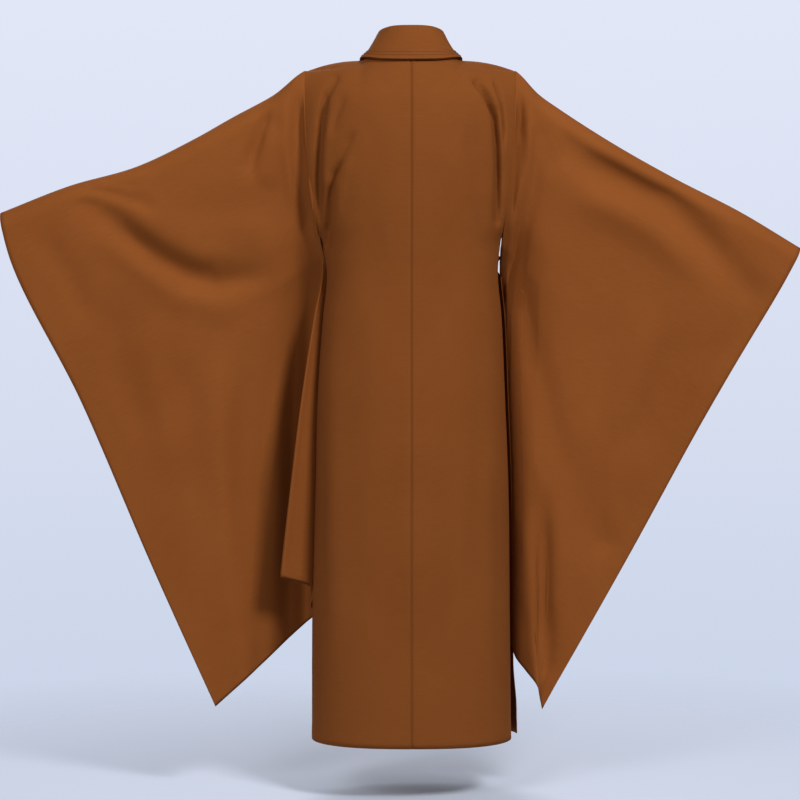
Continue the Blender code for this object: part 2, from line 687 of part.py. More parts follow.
def fronts():
    return [cloth("front_outer", front_points(1, OUTER_COLUMNS), -WALL, keep=own_side(1, -1)),
            cloth("front_inner", front_points(-1, INNER_COLUMNS), -WALL, flip=True, keep=own_side(-1, -1))]


def sleeves():
    left_back, left_front = sleeve_points(1)
    right_back, right_front = sleeve_points(-1)
    return [cloth("sleeve_left_back", left_back, WALL),
            cloth("sleeve_left_front", left_front, WALL, flip=True),
            cloth("sleeve_right_back", right_back, WALL, flip=True),
            cloth("sleeve_right_front", right_front, WALL)]


def collar():
    steps = [FOOT_SHARE] + [(count + 1) * PLY_STEP / COLLAR_WIDTH for count in range(len(PLY_NAMES))]
    net, out = collar_net(steps + [COLLAR_MIDDLE_SHARE, 1.0])
    pieces = [cloth("collar_band", net + out * COLLAR_LIFT, -WALL)]
    for count, name in enumerate(PLY_NAMES):
        lift = COLLAR_LIFT + (count + 1) * (PLY_WALL + PLY_GAP)
        ply = (net + out * lift)[:len(steps) - count]
        pieces.append(cloth(name, ply, -PLY_WALL))
    return pieces


def on_front(x, z, lift):
    """A point at a height above the outer front, right of the middle."""
    def bare(x, z):
        across = x + lap_shift(x, z, True)
        return np.array((x, surface(across, z, False, True), z))
    here = bare(x, z)
    out = np.cross(bare(x, z + NORMAL_STEP) - here, bare(x + NORMAL_STEP, z) - here)
    return here - out / np.linalg.norm(out) * lift * np.sign(out[1])


def tape_points(course, lift):
    """Net of a flat tape along a course over the outer front."""
    spots = np.linspace(0, len(course) - 1, TAPE_SPANS * (len(course) - 1) + 1)
    middle = np.array([follow(course, spot) for spot in spots])
    along = np.gradient(middle, axis=0)
    along /= np.linalg.norm(along, axis=1, keepdims=True)
    aside = np.stack([-along[:, 1], along[:, 0]], axis=1) * TIE_WIDTH / 2
    rows = [middle + aside * share for share in (-1, 0, 1)]
    return np.array([[on_front(x, z, lift) for x, z in row] for row in rows])


def ties():
    pieces = []
    for name, layer, course in TIES:
        points = tape_points(course, TIE_LIFT + layer * (TIE_WALL + TIE_GAP))
        pieces.append(cloth(name, points, -TIE_WALL))
    foot = TIE_LIFT + (len(TIES) + 1) * (TIE_WALL + TIE_GAP)
    turn = np.linspace(-np.pi / 2, np.pi / 2, WRAP_COLUMNS)
    rows = []
    for down in (-WRAP_HALF_LENGTH, 0, WRAP_HALF_LENGTH):
        rows.append([on_front(TIE_WRAP[0] + WRAP_HALF_WIDTH * np.sin(angle), TIE_WRAP[1] + down,
                              foot + WRAP_HEIGHT * np.cos(angle)) for angle in turn])
    return pieces + [cloth("tie_wrap", np.array(rows), -TIE_WALL)]


def build():
    for left in list(bpy.data.objects):
        bpy.data.objects.remove(left, do_unlink=True)
    robe = bpy.data.collections.new("monk_robe")
    bpy.context.scene.collection.children.link(robe)
    for piece in back_panels() + fronts() + sleeves() + collar() + ties():
        robe.objects.link(piece)


build()
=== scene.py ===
"""Looks of a Buddhist monk's ceremonial robe: brown cloth, worn and hollow, seen from the back.

The frame is the solids' own: the back faces +Y, the left as worn is +X, metres, +Z up. Each
piece is a thin shell on the form of its solid, with the same sizes and tables, finer creases,
turned hems, seams and stitches.
"""

import bpy
import bmesh
import numpy as np
from mathutils import Matrix, Vector


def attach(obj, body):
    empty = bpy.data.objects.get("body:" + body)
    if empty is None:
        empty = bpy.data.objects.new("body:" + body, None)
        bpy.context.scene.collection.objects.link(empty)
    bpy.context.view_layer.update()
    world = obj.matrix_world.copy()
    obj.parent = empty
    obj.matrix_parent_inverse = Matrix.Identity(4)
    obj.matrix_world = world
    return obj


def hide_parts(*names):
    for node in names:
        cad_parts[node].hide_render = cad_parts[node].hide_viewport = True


# Cloth
WALL = 0.0012
SEAM_GAP = 0.00004
PLY_WALL = 0.0010

# Heights
HEM_HEIGHT = -1.385
ARMPIT_HEIGHT = -0.367
SLIT_HEIGHT = -1.020

# Shoulders and neck
NECK_HALF_WIDTH = 0.098
NECK_BACK_DEPTH = 0.078
NECK_BACK_DROP = 0.004
BACK_ROUNDING = 0.100
FRONT_ROUNDING = 0.140
SHOULDER_ROWS = (
    # distance from the middle, height of the ridge
    (0.098, 0.000),
    (0.143, -0.003),
    (0.179, -0.010),
    (0.216, -0.022),
)

# Body, a row to a level: height, left half width, right half width, back depth, front depth
BODY_ROWS = (
    (0.000, 0.216, 0.212, 0.098, 0.090),
    (-0.100, 0.215, 0.211, 0.126, 0.108),
    (-0.200, 0.211, 0.207, 0.134, 0.120),
    (-0.300, 0.200, 0.196, 0.130, 0.124),
    (-0.367, 0.185, 0.184, 0.123, 0.122),
    (-0.430, 0.173, 0.178, 0.118, 0.122),
    (-0.520, 0.180, 0.185, 0.117, 0.125),
    (-0.700, 0.191, 0.193, 0.126, 0.131),
    (-0.850, 0.196, 0.199, 0.134, 0.135),
    (-1.150, 0.2025, 0.2025, 0.141, 0.142),
    (-1.385, 0.2025, 0.2045, 0.146, 0.148),
)
SECTION_SQUARENESS = 2.6
SIDE_ROUNDNESS = 2.2
ARMHOLE_SLOPE = 1.0
ARMHOLE_HALF_DEPTH = 0.054
ARMHOLE_FULLNESS = 3.0

# Deep soft creases beside the armholes, a row to a crease: depth, half breadth, then its course
# as across and height, from top to bottom
BACK_CREASES = (
    (0.008, 0.008, ((0.158, -0.050), (0.178, -0.090), (0.190, -0.175), (0.192, -0.247), (0.186, -0.350))),
    (0.005, 0.009, ((0.166, -0.280), (0.171, -0.320), (0.172, -0.380))),
    (0.009, 0.007, ((-0.140, -0.055), (-0.172, -0.115), (-0.179, -0.230), (-0.177, -0.330))),
    (0.003, 0.014, ((-0.119, -0.158), (-0.140, -0.262), (-0.142, -0.330))),
)
FRONT_CREASES = (
    (0.010, 0.009, ((0.150, -0.050), (0.180, -0.160), (0.172, -0.255), (0.170, -0.345))),
    (0.007, 0.012, ((0.105, -0.190), (0.142, -0.262), (0.156, -0.390))),
    (0.010, 0.009, ((-0.148, -0.045), (-0.176, -0.150), (-0.170, -0.250), (-0.168, -0.340))),
)

# Crossed fronts: height, and how far left of the middle the outer front's collar seam runs
CROSSING_ROWS = (
    (0.000, 0.098),
    (-0.040, 0.090),
    (-0.100, 0.058),
    (-0.200, -0.008),
    (-0.300, -0.078),
    (-0.380, -0.136),
    (-0.440, -0.176),
)
CROSSING_FOOT = -0.440
UNDERLAP = 0.0115
INNER_EDGE = 0.090
OUTER_EDGE_SHARE = 0.985
SLIT_FLARE = 0.006
FLARE_HEIGHT = -1.235

# Sleeves. The top edge lies over the arm: share of its length, distance out, height
LEFT_ARM_ROWS = (
    (0.000, 0.2165, -0.022),
    (0.080, 0.265, -0.060),
    (0.220, 0.356, -0.111),
    (0.450, 0.497, -0.188),
    (0.630, 0.612, -0.237),
    (0.850, 0.746, -0.270),
    (1.000, 0.838, -0.312),
)
RIGHT_ARM_ROWS = (
    (0.000, 0.2125, -0.022),
    (0.080, 0.250, -0.060),
    (0.200, 0.317, -0.108),
    (0.480, 0.500, -0.220),
    (0.660, 0.605, -0.275),
    (0.850, 0.720, -0.336),
    (1.000, 0.795, -0.384),
)
# The open cuff: share of its length from the wrist down, distance out, height
LEFT_CUFF_ROWS = (
    (0.000, 0.838, -0.312),
    (0.080, 0.818, -0.393),
    (0.380, 0.674, -0.695),
    (0.700, 0.530, -1.032),
    (1.000, 0.400, -1.322),
)
RIGHT_CUFF_ROWS = (
    (0.000, 0.795, -0.384),
    (0.100, 0.748, -0.471),
    (0.340, 0.618, -0.695),
    (0.660, 0.446, -1.010),
    (1.000, 0.268, -1.327),
)
# The slack inner end of each bag folds beside the body. A row to a fold line, from the sewn
# edge outwards: share of the arm, then at the armpit how far off the body's side and its
# depth, then the same at the bottom seam, the drop from the armpit to the bottom seam, and how
# soon below the armpit it takes up its place across and in depth
LEFT_FOLD_ROWS = (
    (0.000, 0.0026, 0.000, 0.0640, 0.058, 0.686, 1, 3),
    (0.030, 0.0010, 0.000, -0.0040, 0.006, 0.722, 5, 5),
    (0.060, 0.0036, -0.010, 0.0030, -0.010, 0.748, 5, 3),
    (0.090, 0.0110, -0.018, -0.0040, -0.072, 0.775, 5, 3),
    (0.120, 0.0430, -0.019, 0.0180, -0.100, 0.796, 5, 3),
    (0.160, 0.0620, -0.015, 0.0480, -0.082, 0.822, 5, 3),
    (0.220, 0.0950, -0.006, 0.0880, -0.040, 0.858, 5, 3),
)
RIGHT_FOLD_ROWS = (
    (0.000, 0.0026, 0.000, 0.0600, -0.138, 0.720, 2, 5),
    (0.030, 0.0050, -0.010, 0.0090, -0.156, 0.765, 5, 3),
    (0.060, 0.0240, -0.016, 0.0020, -0.114, 0.805, 5, 3),
    (0.090, 0.0330, -0.032, 0.0050, -0.044, 0.838, 8, 3),
    (0.120, 0.0440, -0.028, 0.0130, -0.026, 0.860, 8, 3),
    (0.160, 0.0580, -0.010, 0.0320, -0.008, 0.884, 7, 3),
    (0.220, 0.0850, 0.004, 0.0560, 0.012, 0.918, 5, 3),
)
ARM_HALF_DEPTH = 0.050
WRIST_HALF_DEPTH = 0.040
BAG_LENGTH = 1.080
ARMPIT_SHARE = 0.335
# How full the bag is below the arm: share of its length, share of the arm's half depth
FULLNESS_ROWS = (
    (0.000, 1.000),
    (0.100, 1.000),
    (0.200, 0.720),
    (0.400, 0.420),
    (0.700, 0.260),
    (1.000, 0.100),
)
FOLD_HALF_DEPTH = 0.0014
SEAM_ROUNDING = 0.060

# Long soft folds of the sleeves, a row to a fold: depth, half breadth, course out and down
LEFT_SLEEVE_FOLDS = (
    (0.010, 0.022, ((0.660, -0.287), (0.592, -0.349), (0.506, -0.420), (0.394, -0.460),
                    (0.300, -0.440))),
    (0.006, 0.016, ((0.293, -0.121), (0.326, -0.220))),
    (-0.006, 0.024, ((0.560, -0.300), (0.440, -0.350), (0.330, -0.350))),
)
RIGHT_SLEEVE_FOLDS = (
    (0.010, 0.026, ((0.318, -0.189), (0.517, -0.293), (0.674, -0.461))),
    (0.009, 0.020, ((0.203, -0.461), (0.246, -0.597), (0.287, -0.742), (0.392, -0.984))),
    (0.012, 0.016, ((0.262, -0.860), (0.270, -1.040), (0.270, -1.240))),
)

# Collar, a row to a station of its left half, from the back of the neck to the front: distance
# from the middle and height of the sewn foot, then of the free edge, the free edge's depth
# where it stands, and the share of it that lies flat on the front
COLLAR_ROWS = (
    (0.000, -0.0155, 0.004, 0.0610, 0.056, 0.0),
    (0.058, -0.0130, 0.042, 0.0610, 0.040, 0.0),
    (0.086, -0.0060, 0.062, 0.0570, 0.012, 0.0),
    (0.098, -0.0010, 0.064, 0.0480, -0.014, 0.0),
    (0.0955, -0.018, 0.056, 0.030, -0.034, 0.1),
    (0.090, -0.040, 0.046, 0.006, -0.050, 0.2),
    (0.076, -0.070, 0.028, -0.025, -0.068, 0.6),
    (0.058, -0.100, 0.006, -0.056, -0.082, 0.9),
    (-0.008, -0.200, -0.061, -0.162, 0.000, 1.0),
    (-0.078, -0.300, -0.130, -0.261, 0.000, 1.0),
    (-0.136, -0.380, -0.172, -0.326, 0.000, 1.0),
)
COLLAR_WIDTH = 0.066
COLLAR_LENGTH_STEPS = 9
FOOT_SHARE = 0.0
FOOT_OVERLAP = 0.060
COLLAR_LIFT = 0.0040
PLY_STEP = 0.0066
PLY_GAP = 0.0004
PLY_NAMES = ("collar_ply_long", "collar_ply_middle", "collar_ply_short")
INNER_COLLAR_END = 9
OUTER_COLLAR_END = 10

# Ties at the right side, which hold the outer front shut. A row to a tape: the layer it lies in
# and its course across and down, from its sewn end to its tail
TIE_WIDTH = 0.012
TIE_WALL = 0.0012
TIE_GAP = 0.0004
TIE_LIFT = 0.0008
TIES = (
    ("tie_front", 1, ((-0.157, -0.375), (-0.160, -0.396), (-0.163, -0.420), (-0.158, -0.500),
                      (-0.160, -0.590))),
    ("tie_side", 2, ((-0.179, -0.396), (-0.172, -0.406), (-0.163, -0.420), (-0.170, -0.480),
                     (-0.174, -0.560))),
)
TIE_WRAP = (-0.163, -0.420)
WRAP_HALF_WIDTH = 0.011
WRAP_HALF_LENGTH = 0.006
WRAP_HEIGHT = 0.0040

# Fine creases in the cloth, a row to a crease: depth, half breadth on the two sides of its
# course, on the picture's right and left for one that runs down the body, then the course as
# across and height. A ridge has a negative depth.
BACK_FINE = (
    (0.0110, 0.0034, 0.0044, ((0.152, -0.050), (0.173, -0.081), (0.183, -0.130), (0.186, -0.175),
                              (0.189, -0.247), (0.188, -0.310), (0.184, -0.360))),
    (0.0050, 0.0040, 0.0070, ((0.134, -0.076), (0.150, -0.120), (0.166, -0.176))),
    (0.0060, 0.0055, 0.0066, ((0.114, -0.150), (0.126, -0.176), (0.143, -0.208), (0.157, -0.240),
                              (0.166, -0.284))),
    (0.0115, 0.0034, 0.0038, ((0.139, -0.206), (0.158, -0.244), (0.168, -0.290), (0.171, -0.347),
                              (0.170, -0.400))),
    (-0.0030, 0.0070, 0.0070, ((0.150, -0.120), (0.170, -0.190), (0.179, -0.290))),
    (-0.0030, 0.0100, 0.0060, ((0.112, -0.206), (0.138, -0.262), (0.150, -0.340))),
    (0.0130, 0.0030, 0.0034, ((-0.116, -0.040), (-0.126, -0.055), (-0.147, -0.078),
                              (-0.168, -0.127), (-0.174, -0.181), (-0.176, -0.247),
                              (-0.176, -0.310), (-0.170, -0.365))),
    (0.0080, 0.0028, 0.0030, ((-0.164, -0.046), (-0.171, -0.061), (-0.182, -0.101),
                              (-0.187, -0.147), (-0.187, -0.205))),
    (-0.0030, 0.0050, 0.0060, ((-0.158, -0.060), (-0.178, -0.110), (-0.183, -0.180),
                               (-0.184, -0.250))),
    (0.0034, 0.0120, 0.0160, ((-0.112, -0.150), (-0.128, -0.215), (-0.142, -0.290))),
    (0.0024, 0.0200, 0.0200, ((0.075, -0.120), (0.082, -0.300), (0.078, -0.560))),
    (0.0028, 0.0260, 0.0200, ((-0.060, -0.180), (-0.070, -0.420), (-0.062, -0.700))),
    (0.0034, 0.0200, 0.0260, ((0.118, -0.420), (0.126, -0.700), (0.120, -1.020), (0.128, -1.260))),
    (-0.0030, 0.0200, 0.0240, ((0.160, -0.480), (0.166, -0.800), (0.164, -1.150))),
    (0.0030, 0.0280, 0.0200, ((0.046, -0.640), (0.052, -0.930), (0.044, -1.280))),
    (-0.0026, 0.0240, 0.0300, ((0.008, -0.560), (0.002, -0.820), (0.006, -1.200))),
    (0.0032, 0.0200, 0.0240, ((-0.040, -0.780), (-0.034, -1.050), (-0.042, -1.340))),
    (-0.0030, 0.0260, 0.0200, ((-0.086, -0.520), (-0.092, -0.860), (-0.086, -1.240))),
    (0.0036, 0.0180, 0.0240, ((-0.132, -0.440), (-0.140, -0.720), (-0.134, -1.000),
                              (-0.142, -1.300))),
    (0.0034, 0.0130, 0.0110, ((0.178, -0.700), (0.184, -0.980), (0.182, -1.300))),
    (0.0034, 0.0110, 0.0130, ((-0.176, -0.760), (-0.182, -1.040), (-0.180, -1.330))),
)
FRONT_FINE = (
    (0.0040, 0.0050, 0.0050, ((0.168, -0.050), (0.182, -0.120), (0.186, -0.200), (0.180, -0.320))),
    (0.0030, 0.0060, 0.0060, ((0.118, -0.200), (0.148, -0.258), (0.164, -0.335))),
    (-0.0020, 0.0080, 0.0080, ((0.140, -0.110), (0.164, -0.190), (0.172, -0.290))),
    (0.0026, 0.0090, 0.0090, ((0.060, -0.200), (0.096, -0.330), (0.108, -0.470))),
    (0.0022, 0.0100, 0.0100, ((0.020, -0.270), (0.044, -0.400), (0.050, -0.600))),
    (0.0020, 0.0120, 0.0120, ((-0.050, -0.350), (-0.036, -0.520), (-0.040, -0.780))),
    (0.0026, 0.0090, 0.0090, ((-0.140, -0.430), (-0.100, -0.500), (-0.084, -0.640))),
    (0.0024, 0.0080, 0.0080, ((-0.150, -0.440), (-0.130, -0.560), (-0.126, -0.760))),
    (0.0040, 0.0050, 0.0050, ((-0.150, -0.046), (-0.172, -0.110), (-0.178, -0.190), (-0.172, -0.320))),
    (0.0024, 0.0070, 0.0070, ((-0.120, -0.060), (-0.138, -0.150), (-0.142, -0.260))),
    (0.0034, 0.0240, 0.0240, ((0.130, -0.440), (0.136, -0.760), (0.130, -1.200))),
    (-0.0030, 0.0240, 0.0240, ((0.092, -0.520), (0.088, -0.860), (0.094, -1.300))),
    (0.0034, 0.0260, 0.0260, ((0.040, -0.620), (0.046, -0.960), (0.040, -1.320))),
    (-0.0029, 0.0240, 0.0240, ((-0.006, -0.560), (0.002, -0.920), (-0.004, -1.260))),
    (0.0034, 0.0240, 0.0240, ((-0.064, -0.700), (-0.072, -1.020), (-0.066, -1.340))),
    (-0.0030, 0.0220, 0.0220, ((-0.108, -0.600), (-0.112, -0.940), (-0.106, -1.280))),
    (0.0038, 0.0200, 0.0200, ((-0.152, -0.560), (-0.158, -0.900), (-0.154, -1.220))),
)
# The left sleeve's, seen from behind
LEFT_BACK_FINE = (
    (0.0150, 0.0130, 0.0100, ((0.230, -0.050), (0.231, -0.110), (0.229, -0.180), (0.219, -0.270),
                              (0.206, -0.350), (0.198, -0.400))),
    (0.0040, 0.0035, 0.0040, ((0.2235, -0.080), (0.2245, -0.160), (0.2200, -0.250))),
    (-0.0060, 0.0110, 0.0080, ((0.250, -0.070), (0.250, -0.190), (0.238, -0.330))),
    (0.0080, 0.0110, 0.0060, ((0.284, -0.095), (0.306, -0.160), (0.334, -0.240))),
    (-0.0049, 0.0140, 0.0140, ((0.268, -0.130), (0.286, -0.210), (0.300, -0.270))),
    (0.0120, 0.0130, 0.0200, ((0.660, -0.287), (0.592, -0.350), (0.529, -0.408), (0.465, -0.445),
                      (0.394, -0.461), (0.320, -0.445), (0.268, -0.414))),
    (-0.0090, 0.0220, 0.0220, ((0.640, -0.330), (0.560, -0.405), (0.470, -0.484), (0.390, -0.502),
                       (0.310, -0.490))),
    (-0.0080, 0.0200, 0.0200, ((0.600, -0.300), (0.520, -0.350), (0.430, -0.396), (0.330, -0.392))),
    (0.0080, 0.0080, 0.0120, ((0.707, -0.252), (0.633, -0.268), (0.549, -0.295), (0.500, -0.320))),
    (0.0050, 0.0070, 0.0090, ((0.640, -0.246), (0.590, -0.254), (0.545, -0.262))),
    (-0.0030, 0.0100, 0.0100, ((0.700, -0.272), (0.630, -0.286), (0.570, -0.306))),
    (0.0057, 0.0200, 0.0200, ((0.770, -0.330), (0.700, -0.440), (0.640, -0.560))),
    (0.0053, 0.0260, 0.0260, ((0.620, -0.460), (0.580, -0.640), (0.520, -0.800))),
    (-0.0049, 0.0280, 0.0280, ((0.560, -0.520), (0.520, -0.700), (0.470, -0.880))),
    (0.0057, 0.0280, 0.0280, ((0.480, -0.560), (0.450, -0.780), (0.410, -1.020))),
    (-0.0053, 0.0260, 0.0260, ((0.400, -0.560), (0.390, -0.800), (0.370, -1.060))),
    (0.0065, 0.0220, 0.0220, ((0.330, -0.540), (0.345, -0.800), (0.340, -1.080))),
    (0.0057, 0.0160, 0.0160, ((0.280, -0.520), (0.300, -0.760), (0.300, -1.060))),
)
LEFT_FRONT_FINE = (
    (0.0045, 0.0100, 0.0100, ((0.226, -0.080), (0.228, -0.180), (0.214, -0.330))),
    (0.0040, 0.0120, 0.0120, ((0.280, -0.120), (0.310, -0.200), (0.350, -0.270))),
    (0.0085, 0.0180, 0.0180, ((0.700, -0.320), (0.600, -0.400), (0.470, -0.450), (0.330, -0.430))),
    (-0.0076, 0.0200, 0.0200, ((0.660, -0.360), (0.560, -0.440), (0.430, -0.500), (0.330, -0.480))),
    (0.0065, 0.0140, 0.0140, ((0.720, -0.270), (0.620, -0.300), (0.520, -0.330))),
    (0.0057, 0.0260, 0.0260, ((0.620, -0.520), (0.560, -0.700), (0.480, -0.900))),
    (-0.0053, 0.0260, 0.0260, ((0.520, -0.560), (0.470, -0.780), (0.420, -1.000))),
    (0.0061, 0.0260, 0.0260, ((0.420, -0.560), (0.400, -0.820), (0.370, -1.100))),
)
# The right sleeve's, seen from behind
RIGHT_BACK_FINE = (
    (0.0130, 0.0100, 0.0060, ((0.216, -0.060), (0.219, -0.130), (0.217, -0.210), (0.211, -0.300),
                              (0.204, -0.370))),
    (0.0040, 0.0034, 0.0038, ((0.2225, -0.080), (0.2250, -0.130), (0.2235, -0.175))),
    (-0.0060, 0.0090, 0.0070, ((0.238, -0.085), (0.238, -0.200), (0.232, -0.330))),
    (0.0120, 0.0220, 0.0300, ((0.318, -0.190), (0.400, -0.232), (0.517, -0.293), (0.600, -0.372),
                      (0.674, -0.461))),
    (-0.0080, 0.0220, 0.0220, ((0.330, -0.150), (0.430, -0.205), (0.550, -0.270))),
    (-0.0100, 0.0240, 0.0240, ((0.300, -0.260), (0.420, -0.310), (0.520, -0.370), (0.600, -0.460))),
    (0.0030, 0.0120, 0.0120, ((0.262, -0.130), (0.278, -0.190), (0.296, -0.245))),
    (0.0070, 0.0200, 0.0300, ((0.200, -0.340), (0.214, -0.430), (0.240, -0.550), (0.270, -0.680),
                              (0.300, -0.800), (0.350, -0.960))),
    (0.0110, 0.0120, 0.0120, ((0.268, -0.860), (0.270, -1.010), (0.270, -1.120), (0.268, -1.230))),
    (-0.0050, 0.0130, 0.0130, ((0.236, -0.900), (0.236, -1.040), (0.238, -1.180))),
    (-0.0045, 0.0150, 0.0150, ((0.302, -0.900), (0.304, -1.040), (0.298, -1.200))),
    (0.0057, 0.0260, 0.0260, ((0.740, -0.440), (0.680, -0.540), (0.600, -0.660))),
    (0.0053, 0.0280, 0.0280, ((0.560, -0.520), (0.500, -0.680), (0.440, -0.840))),
    (-0.0053, 0.0280, 0.0280, ((0.500, -0.480), (0.450, -0.640), (0.400, -0.800))),
    (0.0061, 0.0260, 0.0260, ((0.430, -0.480), (0.390, -0.640), (0.360, -0.780))),
)
RIGHT_FRONT_FINE = (
    (0.0045, 0.0100, 0.0100, ((0.222, -0.080), (0.226, -0.180), (0.210, -0.330))),
    (0.0040, 0.0130, 0.0130, ((0.270, -0.150), (0.300, -0.230), (0.350, -0.300))),
    (0.0050, 0.0200, 0.0200, ((0.330, -0.220), (0.460, -0.300), (0.580, -0.400), (0.660, -0.500))),
    (-0.0076, 0.0200, 0.0200, ((0.330, -0.270), (0.440, -0.350), (0.540, -0.460))),
    (0.0061, 0.0220, 0.0220, ((0.560, -0.520), (0.480, -0.700), (0.400, -0.880))),
    (-0.0057, 0.0240, 0.0240, ((0.470, -0.500), (0.400, -0.700), (0.340, -0.900))),
    (0.0076, 0.0160, 0.0160, ((0.380, -0.560), (0.330, -0.760), (0.300, -1.000), (0.282, -1.200))),
)
# Turned hems and seams
HEM_DEPTH = 0.022
HEM_STEP = 0.0005
SEAM_RISE = 0.00035
SEAM_ALLOWANCE = 0.012
PUCKER = 0.00016
PUCKER_STEP = 0.011
LEAST_HOLLOW = 0.0040
RIGHT_BAG_EVENING = 70
STITCH_LENGTH = 0.0022
STITCH_PITCH = 0.0030
STITCH_HALF_WIDTH = 0.00024

# The floor, and the photo's camera
FLOOR_HEIGHT = -1.494
CAMERA_PLACE = (0.0226, 4.0, -0.695)
CAMERA_LENS = 87.8

# Lights: name, place, aim, size, power, colour
LIGHTS = (
    ("key", (-2.35, 3.3, 2.6), (0.0, 0.0, -0.5), 1.2, 204.0, (1.0, 0.97, 0.93)),
    ("fill", (2.2, 3.8, 1.6), (0.0, 0.0, -0.6), 1.8, 104.0, (1.0, 0.98, 0.96)),
    ("far_side", (0.6, -3.4, 1.6), (0.0, 0.0, -0.6), 2.4, 110.0, (1.0, 0.98, 0.96)),
)
ROOM_LIGHT = 0.20
PLY_GROOVE = 0.0017
# Sleeve colour made brighter than the body's, the same cloth: painted light for the stronger light on the
# sleeves
SLEEVE_PAINTED_LIGHT = 1.17
BACKGROUND_TOP = (0.76, 0.80, 0.93, 1.0)
BACKGROUND_FOOT = (0.58, 0.65, 0.80, 1.0)

# Colours
BROWN = (0.214, 0.068, 0.0165)
DEEP_BROWN = (0.168, 0.050, 0.0112)
THREAD_BROWN = (0.180, 0.058, 0.018)


def ease(share):
    """A smooth step from 0 to 1."""
    share = np.clip(share, 0.0, 1.0)
    return share * share * (3.0 - 2.0 * share)


def read(rows, column, place):
    """One column of a table at some places in its first column, on a smooth curve."""
    table = np.array([row[:column + 1] for row in rows], dtype=float)
    if table[0, 0] > table[-1, 0]:
        table = table[::-1]
    knots, values = table[:, 0], table[:, column]
    steps = np.diff(knots)
    rises = np.diff(values) / steps
    slopes = np.empty(len(knots))
    slopes[0], slopes[-1] = rises[0], rises[-1]
    slopes[1:-1] = (rises[:-1] * steps[1:] + rises[1:] * steps[:-1]) / (steps[:-1] + steps[1:])
    place = np.clip(place, knots[0], knots[-1])
    k = np.clip(np.searchsorted(knots, place, side="right") - 1, 0, len(steps) - 1)
    h = steps[k]
    t = (place - knots[k]) / h
    return (values[k] * (1 + 2 * t) * (1 - t) ** 2 + slopes[k] * h * t * (1 - t) ** 2
            + values[k + 1] * t * t * (3 - 2 * t) + slopes[k + 1] * h * t * t * (t - 1))


def follow(stations, place):
    """Points on the smooth curve through some stations, at places counted in stations."""
    stations = np.asarray(stations, dtype=float)
    hops = np.maximum(np.linalg.norm(np.diff(stations, axis=0), axis=-1, keepdims=True), 1e-6)
    rises = np.diff(stations, axis=0) / hops
    slopes = np.empty_like(stations)
    slopes[0], slopes[-1] = rises[0], rises[-1]
    slopes[1:-1] = (rises[:-1] * hops[1:] + rises[1:] * hops[:-1]) / (hops[:-1] + hops[1:])
    k = min(int(place), len(stations) - 2)
    t = place - k
    h = hops[k]
    return (stations[k] * (1 + 2 * t) * (1 - t) ** 2 + slopes[k] * h * t * (1 - t) ** 2
            + stations[k + 1] * t * t * (3 - 2 * t) + slopes[k + 1] * h * t * t * (t - 1))


def crease_depth(creases, across, height):
    """How deep the creases of a table are at some places."""
    total = np.zeros_like(across)
    for depth, breadth, course in creases:
        nearest = np.full_like(across, 1e9)
        for (x0, z0), (x1, z1) in zip(course[:-1], course[1:]):
            length = (x1 - x0) ** 2 + (z1 - z0) ** 2
            along = np.clip(((across - x0) * (x1 - x0) + (height - z0) * (z1 - z0)) / length, 0, 1)
            gap = (across - x0 - along * (x1 - x0)) ** 2 + (height - z0 - along * (z1 - z0)) ** 2
            nearest = np.minimum(nearest, gap)
        total = total + depth * np.exp(-nearest / (2 * breadth * breadth))
    return total


def ridge_height(across):
    """Height of the shoulder ridge."""
    return read(SHOULDER_ROWS, 1, np.abs(across))


def half_width(height, side):
    """Half width of the body on the left, side 1, or the right, side -1."""
    return read(BODY_ROWS, 1 if side > 0 else 2, height)


def armhole_half_depth(height):
    """Half depth of the oval armhole, nothing at the shoulder tip and at the armpit."""
    top = SHOULDER_ROWS[-1][1]
    middle, reach = (top + ARMPIT_HEIGHT) / 2, (top - ARMPIT_HEIGHT) / 2
    off = np.abs((height - middle) / reach)
    return ARMHOLE_HALF_DEPTH * np.clip(1 - off ** ARMHOLE_FULLNESS, 0, 1) ** (1 / ARMHOLE_FULLNESS)


def section_fall(share, height):
    """How far the section has rounded off from the middle, share 0, to the side, share 1."""
    below = ease((-0.30 - height) / 0.14)
    roundness = ARMHOLE_SLOPE + (SIDE_ROUNDNESS - ARMHOLE_SLOPE) * below
    return np.clip(1 - np.abs(share) ** SECTION_SQUARENESS, 0, 1) ** (1 / roundness)


def top_rounding(drop, reach):
    """Share of the full depth that the body has a drop below the shoulder ridge."""
    return np.sqrt(1 - (1 - np.clip(drop / reach, 0, 1)) ** 2)


def body_depth(across_share, across, height, face, under=0.0):
    """Depth of the body's surface, the back for face 1 and the front for face -1."""
    edge = armhole_half_depth(height)
    fall = section_fall(across_share, height)
    neck = np.zeros_like(across)
    if face > 0:
        top = ridge_height(across)
        neck = NECK_BACK_DEPTH * np.sqrt(np.clip(1 - (across / NECK_HALF_WIDTH) ** 2, 0, 1))
        rise = top_rounding(top - height, BACK_ROUNDING)
        full = read(BODY_ROWS, 3, height)
    else:
        rise = top_rounding(ridge_height(across) - height, FRONT_ROUNDING)
        full = read(BODY_ROWS, 4, height) - under
    return face * (edge + (neck * (1 - rise) + full * rise - edge) * fall)


def body_levels():
    """Drops below the shoulder of the rows of a body panel."""
    turn = np.linspace(0, np.pi / 2, 22)[:-1]
    top = BACK_ROUNDING * (1 - np.cos(turn))
    chest = np.linspace(BACK_ROUNDING, 0.420, 92)[:-1]
    skirt = np.linspace(0.420, -HEM_HEIGHT, 90)
    return np.concatenate([top, chest, skirt])


def pull(points, creases):
    """Sinks creases into a panel, towards the middle of the body."""
    depth = crease_depth(creases, points[..., 0], points[..., 2])
    away = np.linalg.norm(points[..., :2], axis=-1)
    points[..., :2] *= (1 - depth / np.maximum(away, 0.05))[..., None]
    return points


